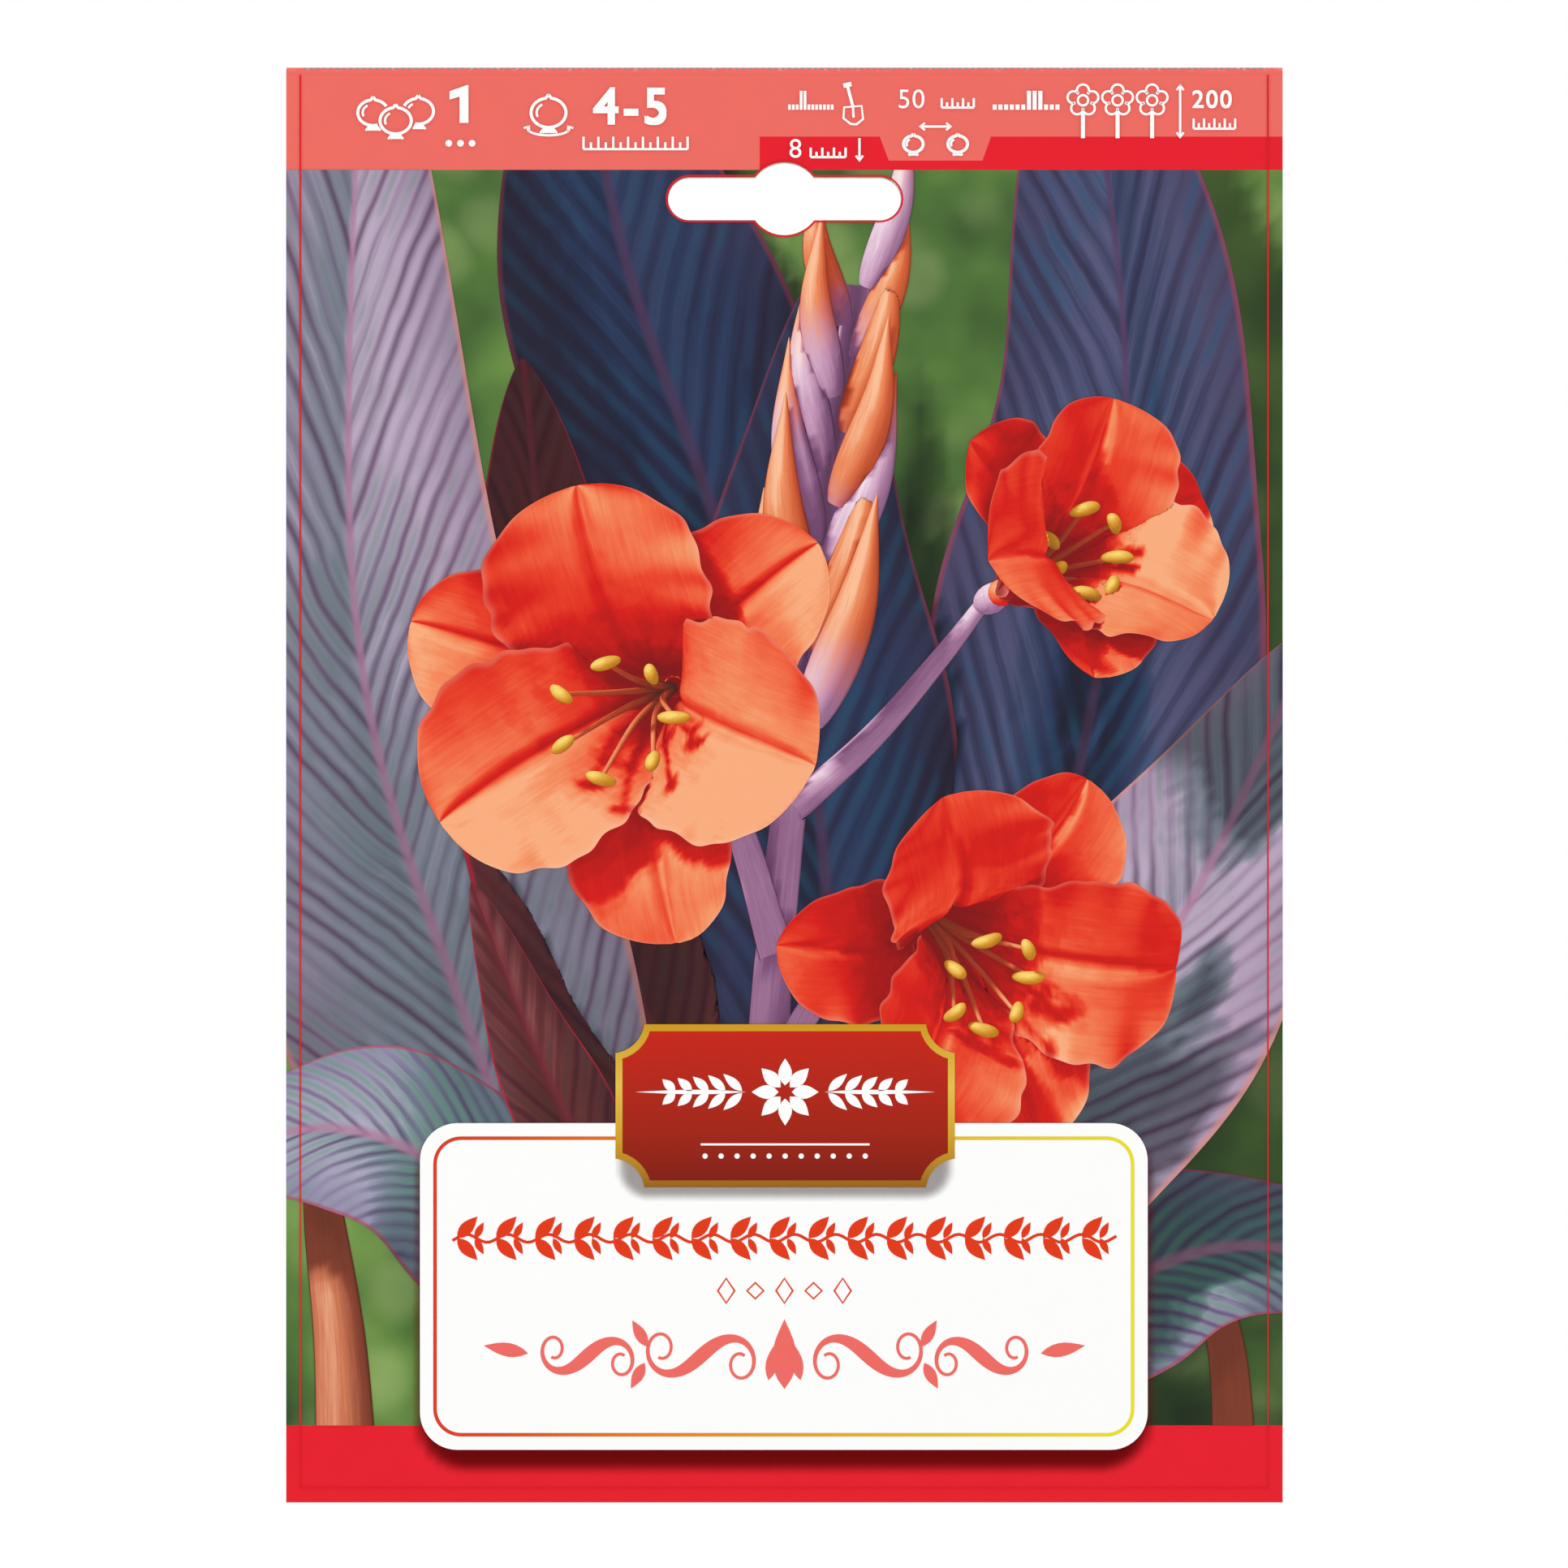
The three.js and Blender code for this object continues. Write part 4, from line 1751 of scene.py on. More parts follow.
class PetalInk(Finish):
    """Petal inks: saturated red in the shade, orange and coral in the sun."""

    sunny = shades(
        (0.0, 92, 4, 8), (0.16, 164, 9, 10), (0.34, 214, 22, 14), (0.5, 232, 62, 34),
        (0.66, 240, 106, 66), (0.82, 243, 140, 92), (1.0, 248, 172, 126),
    )
    pinkish = shades(
        (0.0, 88, 5, 14), (0.2, 176, 14, 20), (0.4, 222, 46, 44), (0.62, 233, 88, 82),
        (0.82, 238, 124, 114), (1.0, 248, 176, 164),
    )
    throat, freckle = ink(126, 8, 12), ink(120, 6, 16)
    edge_shade, edge_light = ink(196, 16, 14), ink(252, 190, 160)

    def material(self) -> Material:
        """Builds the material from the light, the side that shows and the distance from the throat.

        Returns:
            The finished material.
        """
        graph = Graph("petal_ink")
        light, run, off, tone, side, across = graph.read("light", "run", "off", "tone", "side", "across")
        tone = tone * 50.0
        streak = graph.noise(graph.vector(off * 1.1, run * 0.09, tone), 1.6, 5.0, 0.62)
        mottle = graph.noise(graph.vector(off, run, tone), 0.28, 4.0, 0.55)
        bright = light * (1.0 + (streak - 0.5) * 0.36 + (mottle - 0.5) * 0.22)
        colour = graph.mix(side, graph.ramp(bright, self.pinkish), graph.ramp(bright, self.sunny))
        deep = 1.0 - graph.between(run, 3.0, 13.0)
        dots = 1.0 - graph.between(graph.cells(graph.vector(off, run * 0.8, tone), 0.95), 0.1, 0.22)
        freckles = dots * side * (1.0 - graph.between(run + (streak - 0.5) * 8.0, 9.0, 16.0))
        edge = graph.between(abs(across), 0.93, 1.0)
        rim = graph.mix(light, self.edge_shade, self.edge_light)
        coats = ((deep * 0.75, self.throat), (freckles * 0.55, self.freckle), (edge * 0.4, rim))
        return VARNISH.over(graph, graph.coats(colour, *coats))


@dataclass(frozen=True)
class ShootInk(Finish):
    """The inks of round shoots: one row of colours for the foot and one for the tip."""

    name: str
    foot: Stops
    tip: Stops
    change: tuple[float, float] = (0.35, 0.85)
    spread: float = 0.0

    def material(self) -> Material:
        """Builds the material with fine lengthwise streaks.

        Returns:
            The finished material.
        """
        graph = Graph(self.name)
        light, run, off, tone, along = graph.read("light", "run", "off", "tone", "along")
        streak = graph.noise(graph.vector(off * 1.4, run * 0.12, tone * 30.0), 2.0, 4.0, 0.6)
        bright = light * (0.75 + streak * 0.5)
        tip = graph.between(along + (streak - 0.5) * 0.4 + (tone - 0.5) * self.spread, *self.change)
        foot_colour, tip_colour = (graph.ramp(bright, stops) for stops in (self.foot, self.tip))
        return VARNISH.over(graph, graph.mix(tip, foot_colour, tip_colour))


class GroundInk(Finish):
    """The far garden of the picture, out of focus."""

    greens = shades(
        (0.3, 16, 22, 16), (0.42, 40, 62, 34), (0.54, 76, 112, 52), (0.66, 112, 148, 72),
        (0.82, 168, 186, 122),
    )
    spot, shade = ink(176, 194, 128), ink(10, 16, 12)

    def material(self) -> Material:
        """Builds the material.

        Returns:
            The finished material.
        """
        graph = Graph("garden_ground_ink")
        place = graph.place()
        tone = graph.noise(place, 26.0, 2.0, 0.45) * 0.75 + graph.noise(place, 75.0, 2.0, 0.5) * 0.3
        spots = 1.0 - graph.between(graph.cells(place, 85.0), 0.22, 0.5)
        shade = 1.0 - graph.between(graph.read("light")[0], 0.1, 0.75)
        coats = ((spots * 0.2, self.spot), (shade * 0.93, self.shade))
        return VARNISH.over(graph, graph.coats(graph.ramp(tone, self.greens), *coats))


LILAC = shades(
    (0, 60, 30, 56), (0.25, 124, 78, 118), (0.5, 190, 142, 176), (0.78, 224, 190, 212),
    (1, 248, 232, 240),
)
ORANGE = shades(
    (0, 104, 28, 14), (0.25, 170, 60, 30), (0.5, 214, 98, 56), (0.78, 236, 140, 92), (1, 250, 190, 150),
)
GOLD = shades((0, 120, 66, 10), (0.5, 214, 146, 30), (1, 250, 214, 110))
EARTH = shades((0, 50, 18, 14), (0.45, 140, 66, 44), (0.8, 206, 120, 84), (1, 230, 160, 124))
SLATE_STOPS = shades(
    (0.0, 16, 13, 26), (0.14, 44, 42, 58), (0.32, 76, 84, 96), (0.52, 106, 116, 128),
    (0.74, 132, 132, 150), (1.0, 186, 168, 192),
)
NAVY_STOPS = shades(
    (0.0, 7, 7, 15), (0.2, 16, 18, 32), (0.42, 26, 36, 62), (0.62, 38, 54, 88), (0.82, 54, 64, 96),
    (1.0, 84, 84, 120),
)
MAROON_STOPS = shades(
    (0.0, 16, 6, 11), (0.2, 44, 16, 20), (0.45, 78, 30, 32), (0.7, 104, 46, 48), (1.0, 150, 86, 88),
)
GREEN_STOPS = shades(
    (0.0, 14, 20, 26), (0.2, 36, 50, 60), (0.42, 64, 92, 96), (0.64, 94, 124, 124),
    (0.84, 124, 138, 152), (1.0, 176, 172, 196),
)
INKS = {
    Layer.GARDEN: GroundInk(),
    Layer.SLATE: LeafInk(
        "slate_leaf_ink", SLATE_STOPS, vein=ink(98, 62, 98), rib=ink(176, 124, 158),
        edge=ink(214, 140, 130), fresh=ink(108, 132, 130), margin=ink(164, 132, 164),
    ),
    Layer.NAVY: LeafInk(
        "navy_leaf_ink", NAVY_STOPS, vein=ink(36, 26, 52), rib=ink(86, 60, 98), edge=ink(140, 62, 84),
        fresh=ink(36, 82, 116), margin=ink(62, 52, 80), pitch=7.4, vein_depth=0.5,
    ),
    Layer.MAROON: LeafInk(
        "maroon_leaf_ink", MAROON_STOPS, vein=ink(46, 16, 28), rib=ink(124, 40, 50),
        edge=ink(200, 28, 56), fresh=ink(74, 46, 44), margin=ink(96, 40, 48), pitch=6.0, vein_depth=0.5,
    ),
    Layer.GREEN: LeafInk(
        "green_leaf_ink", GREEN_STOPS, vein=ink(86, 60, 106), rib=ink(176, 124, 156),
        edge=ink(176, 60, 92), fresh=ink(88, 146, 116), margin=ink(116, 108, 144), pitch=5.0,
    ),
    Layer.PETALS: PetalInk(),
    Layer.BUDS: ShootInk("bud_ink", LILAC, ORANGE, (0.2, 0.6), 1.1),
    Layer.STALKS: ShootInk("stalk_ink", LILAC, LILAC),
    Layer.FILAMENTS: ShootInk("filament_ink", EARTH, ORANGE, (0.1, 0.4)),
    Layer.ANTHERS: ShootInk("anther_ink", GOLD, GOLD),
    Layer.CANES: ShootInk("cane_ink", EARTH, EARTH),
}


@dataclass(frozen=True)
class Bloom:
    """A six-petalled bloom, its petals in two whorls, with stamens."""

    throat: Place
    axis: Place
    length: float
    half_width: float
    opens: tuple[float, float]
    roll: float
    seed: int
    whorl_lead = 6.4
    petal_lead = 1.9
    heel_back = 5.6

    def grow(self) -> Planting:
        """Lists the bloom's petals, filaments and anthers.

        Returns:
            The growths and their layers.
        """
        draw = random.Random(self.seed)
        grown: Planting = []
        for index in range(6):
            inner = index % 2 == 1
            petal = Petal(
                throat=self.throat,
                axis=self.axis,
                roll=self.roll + TAU * index / 6 + draw.uniform(-0.09, 0.09),
                length=self.length * (0.95 if inner else 1.0) * draw.uniform(0.95, 1.06),
                half_width=self.half_width * (1.12 if inner else 0.9) * draw.uniform(0.95, 1.05),
                opens=(self.opens[0], self.opens[1] + draw.uniform(-0.22, 0.28)),
                cup=draw.uniform(0.16, 0.34),
                ruffle=draw.uniform(0.07, 0.14),
                phase=draw.uniform(0, TAU),
                twist=draw.uniform(-0.12, 0.12),
                lead=(self.whorl_lead if inner else 0.0) + self.petal_lead * (index // 2),
            )
            grown.append((Layer.PETALS, petal))
        return grown + self.base() + self.stamens(draw)

    def behind(self, back: float) -> Place:
        """The point that lies a distance behind the throat."""
        return tuple(Vector(self.throat) - Vector(self.axis).normalized() * back)

    def heel(self) -> Place:
        """Where the stalk runs into the bloom."""
        return self.behind(self.heel_back)

    def base(self) -> Planting:
        """Lists what closes the throat, and the swelling behind it that the stalk runs into.

        Returns:
            The growths and their layers.
        """
        bodies = ((Layer.PETALS, (2.2, 0.4, -1.4), 1.9), (Layer.STALKS, (6.6, 3.0, -0.6), 2.1))
        return [
            (layer, Shoot(tuple(self.behind(back) for back in backs), radius, Taper.ANTHER))
            for layer, backs, radius in bodies
        ]

    def stamens(self, draw: random.Random) -> Planting:
        """Lists the filaments and their anthers, which arch forward and down.

        Args:
            draw: The source of their lengths.

        Returns:
            The growths and their layers.
        """
        axis, start = unit(np.array(self.axis, float)), np.array(self.throat, float)
        grown: Planting = []
        for index in range(7):
            turn = TAU * index / 7
            spread = np.array([math.cos(turn), math.sin(turn) - 0.35, 0.0])
            reach = self.length * draw.uniform(0.62, 0.78)
            middle = start + axis * reach * 0.55 + spread * reach * 0.08
            end = start + axis * reach + spread * reach * 0.24
            lean = np.array([math.cos(turn * 2), math.sin(turn * 2) * 0.6, 0.3]) * 2.3
            anther = (end - lean, end + axis * 0.6, end + lean)
            grown.append((Layer.FILAMENTS, Shoot((start, middle, end), 0.55, Taper.THREAD)))
            grown.append((Layer.ANTHERS, Shoot(anther, 0.95, Taper.ANTHER)))
        return grown


@dataclass
class Picture:
    """The printed picture: garden blooms among dark leaves, grown and then pressed flat."""

    ambient: float = 0.04
    strengths: tuple[float, ...] = (0.62, 0.42, 0.3, 0.26)
    normal_step: float = 0.012
    buds: int = 13
    tags = ("light", "side", "along", "across", "run", "off", "tone")
    tall_slate = ((-22, -164, -38), (-44, -112, -26), (-59, -56, -16), (-58, 36, -22))
    low_slate = ((4, -162, -30), (32, -130, -10), (54, -100, -2), (74, -58, -16))
    tall_maroon = ((-2, -158, -38), (-18, -116, -32), (-30, -78, -30), (-36, -22, -40))
    leaves = (
        (Layer.NAVY, ((-2, -92, -60), (-8, -50, -56), (-22, -8, -52), (-30, 34, -50)), 23, (0.2, 0.3, 0.9)),
        (Layer.NAVY, ((22, -140, -52), (38, -90, -46), (47, -30, -44), (40, 36, -50)), 29, (-0.6, -0.1, 0.8)),
        (Layer.NAVY, ((4, -150, -48), (6, -104, -46), (3, -60, -46), (6, -8, -50)), 24, (0.45, -0.35, 0.8)),
        (Layer.MAROON, tall_maroon, 24, (0.6, 0.0, 0.8)),
        (Layer.SLATE, tall_slate, 28, (-0.1, 0.25, 0.95), 0.42, 0.1, 1.7),
        (Layer.SLATE, low_slate, 25, (-0.25, 0.3, 0.9), 0.36, 0.09, 2.3),
        (Layer.GREEN, ((14, -178, -24), (40, -154, -12), (62, -144, -10), (94, -150, -20)), 15,
         (0.1, 0.5, 0.8)),
        (Layer.GREEN, ((-10, -178, -18), (-38, -142, -4), (-60, -128, -2), (-90, -134, -14)), 17,
         (0, 0.6, 0.8)),
        (Layer.MAROON, ((-8, -166, -12), (-22, -142, -4), (-33, -120, -2), (-43, -94, -10)), 9,
         (0.4, 0.3, 0.84)),
        (Layer.MAROON, ((12, -166, -14), (24, -144, -6), (30, -128, -4), (42, -112, -10)), 8,
         (-0.4, 0.3, 0.84)),
    )
    blooms = (
        Bloom((-15.0, -67.0, 10.0), (-0.24, -0.05, 0.95), 44.0, 14.4, (0.22, 1.7), 0.35, 3),
        Bloom((18.0, -97.0, 6.0), (0.4, -0.32, 0.85), 38.0, 12.8, (0.2, 1.8), 0.1, 8),
        Bloom((30.0, -54.0, -4.0), (0.5, 0.3, 0.8), 33.0, 11.8, (0.12, 1.45), 0.8, 21),
    )
    stem_foot, stem_top = (2.0, -72.0, -6.0), (10.0, -12.0, -8.0)
    stems = (
        (Layer.STALKS, ((-3, -146, -6), (-2, -112, -2), stem_foot, stem_top), 3.4),
        (Layer.STALKS, ((-2, -128, 0), (2, -114, 2), (10, -103, -1), blooms[1].heel()), 2.3),
        (Layer.STALKS, ((-1, -104, 0), (-5, -90, -2), (-10, -76, -1), blooms[0].heel()), 2.5),
        (Layer.STALKS, ((1, -84, -4), (12, -74, -9), (21.5, -63, -11), blooms[2].heel()), 2.1),
        (Layer.CANES, ((-60, -178, -12), (-61, -158, -12), (-63, -142, -14), (-64, -134, -16)), 4.4),
        (Layer.CANES, ((62, -178, -18), (61, -160, -18), (58, -146, -18), (57, -138, -20)), 3.2),
    )

    def __post_init__(self) -> None:
        """Starts an empty mesh for each layer, with the attributes that the inks read."""
        self.meshes = {layer: bmesh.new() for layer in Layer}
        self.handles = {
            layer: [bm.verts.layers.float.new(tag) for tag in self.tags] for layer, bm in self.meshes.items()
        }
        self.draw = random.Random(12)

    def plan(self) -> Planting:
        """Lists every growth: the garden, the leaves, the blooms, the stems and the spire of buds.

        Returns:
            The growths and their layers, in the order that they are drawn in.
        """
        grown: Planting = [(Layer.GARDEN, Backdrop())]
        grown += [(layer, Leaf(*shape)) for layer, *shape in self.leaves]
        for bloom in self.blooms:
            grown += bloom.grow()
        grown += [(layer, Shoot(*shape)) for layer, *shape in self.stems]
        foot, top = Vector(self.stem_foot), Vector(self.stem_top)
        for index in range(self.buds):
            share, lean = index / (self.buds - 1), -1 if index % 2 else 1
            start = foot.lerp(top, share) + Vector((lean * 1.4, 0, 4 if index % 3 else 7))
            aside, rise = lean * self.draw.uniform(4.5, 8.5) + 3, self.draw.uniform(27, 34)
            reach = Vector((aside, rise, 4)) * (1 - 0.28 * share)
            middle = start + reach * 0.5 + Vector((lean * 1.6, 0, 1.5))
            grown.append((Layer.BUDS, Shoot((start, middle, start + reach), 3.7 - 1.3 * share, Taper.BUD)))
        return grown

    def sprout(self, layer: Layer, growth: Growth) -> Sprouted:
        """Adds one growth's surface to its layer's mesh.

        Args:
            layer: The layer.
            growth: The growth.

        Returns:
            The growth with its vertices, their places and the ways that they face.
        """
        verts, across, along = sheet(self.meshes[layer], growth.columns, growth.rows)
        places = growth.points(along, across)
        move(verts, places)
        step = self.normal_step
        inner, within = np.clip(along, 0.03, 0.97), np.clip(across, -0.97, 0.97)
        run = growth.points(inner + step, within) - growth.points(inner - step, within)
        width = growth.points(inner, within + step) - growth.points(inner, within - step)
        normals = unit(np.cross(width, run))
        return Sprouted(layer, growth, verts, along, across, places, normals, self.draw.random())

    def mark(self, sprouted: Sprouted, sunlight: Sunlight) -> None:
        """Writes the light and the marks of each vertex of a growth.

        Args:
            sprouted: The growth.
            sunlight: What lights it.
        """
        facing = np.where(sprouted.normals[:, 2] < 0, -1.0, 1.0)
        towards = times(sprouted.normals, facing)
        levels = np.array([sunlight.at(*pair) for pair in zip(sprouted.places, towards)])
        inner_side = facing > 0 if isinstance(sprouted.growth, Petal) else np.ones(len(facing))
        columns = (
            self.ambient + levels @ np.array(self.strengths),
            inner_side,
            sprouted.along,
            sprouted.across,
            *sprouted.growth.marks(sprouted.along, sprouted.across),
            np.full(len(facing), sprouted.tone),
        )
        for tag, values in zip(self.handles[sprouted.layer], columns):
            for vert, value in zip(sprouted.verts, values):
                vert[tag] = float(value)

    def press(self, layer: Layer) -> None:
        """Presses a layer onto the card, trims it to the picture and publishes it.

        Args:
            layer: The layer.
        """
        bm = self.meshes[layer]
        for vert in bm.verts:
            vert.co.z = LIFT.picture + LIFT.squeeze * (vert.co.z - Backdrop.depth)
        bmesh.ops.remove_doubles(bm, verts=bm.verts, dist=1e-4)
        trim(bm, CARD.zone(CARD.foot_top, CARD.header_bottom))
        punch_slot(bm)
        print_on_card(f"picture_{layer.value}", bm, INKS[layer], smooth=True)

    def build(self) -> None:
        """Grows, lights and prints the picture."""
        grown = [self.sprout(layer, growth) for layer, growth in self.plan()]
        sunlight = Sunlight(grown)
        for sprouted in grown:
            self.mark(sprouted, sunlight)
        for layer in Layer:
            self.press(layer)


# ---- film bag


@dataclass(frozen=True)
class Belly:
    """The stretch where the bag's back wall stands out round its contents."""

    half_width: float = 57.0
    top: float = -36.0
    bottom: float = -168.0
    depth: float = 34.0
    sag: float = 0.52
    shoulder: float = 3.0

    def stand(self, x: Array, z: Array, shrink: float = 0.0) -> Array:
        """Works out how far the back wall stands behind the card.

        Args:
            x: Places across the card.
            z: Places up the card.
            shrink: How far the wall is drawn in.

        Returns:
            The distance at each place.
        """
        across = np.clip(np.abs(x) / (self.half_width - 2 * shrink), 0, 1)
        low = self.bottom + 2 * shrink
        up = np.clip((z - low) / (self.top - 2 * shrink - low), 0, 1)
        return (self.depth - shrink) * np.sin(np.pi * up**self.sag) * (1 - across**self.shoulder)


BELLY = Belly()


def ridges(x: Array, z: Array, seed: float) -> Array:
    """Sharp crests between 0 and 1, as crumpled film has them."""
    heights = [noise.noise(Vector((a, b, seed))) for a, b in zip(x, z)]
    return np.clip(1 - 2.4 * np.abs(np.array(heights)), 0, 1) ** 2


@dataclass(frozen=True)
class Vents:
    """The two rows of round holes that are melted through the film."""

    pitch: float = 30.0
    columns: int = 3
    rows: tuple[float, float] = (-62.0, -84.0)
    radius: float = 3.0
    rim: float = 0.7

    def centres(self) -> Path:
        """The middle of each hole."""
        first = -self.pitch * (self.columns - 1) / 2
        return [(first + self.pitch * column, row) for row in self.rows for column in range(self.columns)]

    def rims(self, graph: Graph, x: Field, z: Field) -> Field:
        """Finds the thickened rim round each hole.

        Args:
            graph: The film's node tree.
            x: The point's place across the card, in metres.
            z: Its place up the card, in metres.

        Returns:
            1 on a rim, else 0.
        """
        middle, half = sum(self.rows) / 2, abs(self.rows[0] - self.rows[1]) / 2
        aside = x - graph.math("ROUND", x / (self.pitch * MM)) * (self.pitch * MM)
        above = abs(z - middle * MM) - half * MM
        away = (aside * aside + above * above) ** 0.5
        ring = (away < (self.radius + self.rim) * MM) * (abs(x) < self.pitch * self.columns / 2 * MM)
        return ring * graph.between(away, (self.radius - self.rim) * MM, (self.radius + self.rim / 2) * MM)


VENTS = Vents()


class FilmFinish(Finish):
    """Clear glossy film: nearly all see-through, whiter and knurled at its welds."""

    weld_side = 57.6
    weld_foot = -168.6
    knurl_pitch = 2.4
    haze, weld_haze, rim_haze = 0.006, 0.07, 0.16
    face_gloss, edge_gloss = 0.028, 0.8
    clear, milk = ink(254, 255, 255), ink(244, 247, 250)

    def material(self) -> Material:
        """Builds the material.

        Returns:
            The finished material.
        """
        graph = Graph("clear_film")
        x, _, z = graph.axes()
        weld = graph.math("MAXIMUM", abs(x) > self.weld_side * MM, z < self.weld_foot * MM)
        turns = TAU / (self.knurl_pitch * MM)
        knurl = graph.math("SINE", (z + x) * turns) * graph.math("SINE", (z - x) * turns)
        crinkle = graph.noise(graph.place(), 210.0, 5.0, 0.6)
        scratch = graph.noise(graph.vector(x, 0.0, z * 0.2), 900.0)
        normal = graph.bump(crinkle + scratch * 0.1 + knurl * weld * 0.25, 0.0002, 0.9)
        cloudy = weld * self.weld_haze + VENTS.rims(graph, x, z) * self.rim_haze + crinkle * 0.018 + self.haze
        clear = graph.node("BsdfTransparent", {0: self.clear})
        milk = graph.node("BsdfDiffuse", {0: self.milk, "Normal": normal})
        body = graph.node("MixShader", {0: cloudy, 1: clear, 2: milk})
        sheen = graph.node("BsdfAnisotropic", {"Roughness": 0.06, "Normal": normal})
        facing = graph.node("LayerWeight", {"Blend": 0.5, "Normal": normal}, "Facing")
        share = facing**4.0 * self.edge_gloss + self.face_gloss
        return graph.close(graph.node("MixShader", {0: share, 1: body, 2: sheen}))


def close_sheet(bm: Mesh, rim: Sequence[bmesh.types.BMEdge], axis: int, level: float) -> None:
    """Runs a sheet's rim straight out and closes it there with one face.

    Args:
        bm: The mesh.
        rim: The sheet's outer edges.
        axis: The axis that the rim runs along.
        level: Where on that axis it ends.
    """
    lip = bmesh.ops.extrude_edge_only(bm, edges=rim)["geom"]
    for vert in (part for part in lip if isinstance(part, bmesh.types.BMVert)):
        vert.co[axis] = level
    edges = [part for part in lip if isinstance(part, bmesh.types.BMEdge)]
    bmesh.ops.edgeloop_fill(bm, edges=[edge for edge in edges if edge.is_boundary])
    bmesh.ops.recalc_face_normals(bm, faces=bm.faces)


@dataclass
class FilmBag:
    """The clear pouch: flat in the card's fold, standing out behind it round the contents.

    It is drawn as the print is, x to the right and y up, so its depth behind the card is -z.
    """

    half_width: float = 62.0
    top: float = 14.5
    bottom: float = -173.0
    corner: float = 5.0
    face: float = 0.3
    columns: int = 124
    belly_rows: int = 176
    pleat: float = 2.4
    pucker: float = 1.7
    crease: float = 1.2
    crinkle: float = 0.3

    def heights(self) -> Array:
        """Spaces the rows: the foot weld, the belly, closest at its foot, and the header.

        Returns:
            The height of each row.
        """
        share = np.linspace(0, 1, self.belly_rows + 1)
        belly = BELLY.bottom + (BELLY.top - BELLY.bottom) * share ** (1 / BELLY.sag)
        foot = self.bottom + (BELLY.bottom - self.bottom) * np.linspace(0, 1, 7)[:-1] ** 1.4
        return np.concatenate([foot, belly, np.linspace(BELLY.top, self.top, 9)[1:]])

    def width_at(self, z: Array) -> Array:
        """Half the bag's width at each height, less at its rounded foot corners."""
        drop = np.clip(self.bottom + self.corner - z, 0, self.corner)
        return self.half_width - self.corner + np.sqrt(self.corner**2 - drop**2)

    def depth(self, x: Array, z: Array) -> Array:
        """How far behind the card the back wall lies, with its pleats, puckers and creases.

        Args:
            x: Places across the card.
            z: Places up the card.

        Returns:
            The depth at each.
        """
        stand = BELLY.stand(x, z)
        under_flap = np.exp(-(((BELLY.top - z) / 30) ** 2))
        beside_weld = np.exp(-(((BELLY.half_width - np.abs(x)) / 11) ** 2))
        pleats = self.pleat * under_flap * ridges(x / 9, z / 48, 1.5)
        puckers = self.pucker * beside_weld * ridges(x / 30, z / 8.5, 7.5)
        creases = self.crease * ridges(x / 21 + z / 40, z / 19 - x / 55, 12.5)
        creases = creases + self.crinkle * ridges(x / 7, z / 7, 20.5)
        flat = self.face + 0.12 * np.sin(z * 0.9 + np.sign(x)) * np.clip((np.abs(x) - 57.5) / 4, 0, 1)
        return np.maximum(flat, stand + np.clip(stand / 3.0, 0, 1) * (pleats + puckers + creases))

    def build(self) -> None:
        """Makes the bag from one sheet, its vents, and a flat front sheet welded to its rim."""
        bm, heights = bmesh.new(), self.heights()
        verts, across, up = sheet(bm, self.columns, len(heights) - 1)
        z = heights[np.rint(up * (len(heights) - 1)).astype(int)]
        x = across * self.width_at(z)
        move(verts, np.column_stack([x, z, -self.depth(x, z)]))
        rim = [edge for edge in bm.edges if edge.is_boundary]
        for centre in VENTS.centres():
            cut_out(bm, disc(centre, VENTS.radius, 24))
        close_sheet(bm, rim, 2, self.face)
        punch_slot(bm)
        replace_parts(publish("bag_film", bm, UPRIGHT, [FilmFinish()]), "film_bag")


# ---- rhizome


class Growing(Enum):
    """What a stretch of the rhizome is."""

    KNUCKLE = "knuckle"
    STEM = "stem"
    EYE = "eye"


@dataclass(frozen=True)
class Limb:
    """One limb of the rhizome: its kind, its girth, its leaf scars and the points it runs through."""

    kind: Growing
    radius: float
    scars: float
    points: tuple[Place, ...]

    def spine(self) -> Array:
        """Points along the middle of the limb."""
        return through(np.array(self.points, float), np.linspace(0, 1, 61))


STOCK = ((-42, 10, -137), (-22, 13.5, -143), (0, 15.3, -143), (21, 14, -139), (38, 10.5, -131))
LIMBS = (
    Limb(Growing.KNUCKLE, 12.0, 11, STOCK),
    Limb(Growing.KNUCKLE, 9.3, 5, ((-9, 16, -141), (-15, 16.5, -128), (-21, 15.5, -114))),
    Limb(Growing.KNUCKLE, 8.8, 5, ((13, 15.5, -139), (18, 16, -126), (22, 15.5, -112))),
    Limb(Growing.STEM, 5.2, 3, ((21, 15.6, -116), (23, 15, -106), (25, 14, -97))),
    Limb(Growing.EYE, 4.6, 3, ((-20, 15.6, -116), (-22.5, 14.6, -106.7), (-25, 13.5, -99))),
    Limb(Growing.EYE, 4.4, 3, ((36, 10.8, -132), (40.5, 9.4, -124.7), (45, 8, -119))),
    Limb(Growing.EYE, 3.8, 3, ((-40, 10.3, -138), (-43.5, 8.9, -131.7), (-47, 7.5, -127))),
)


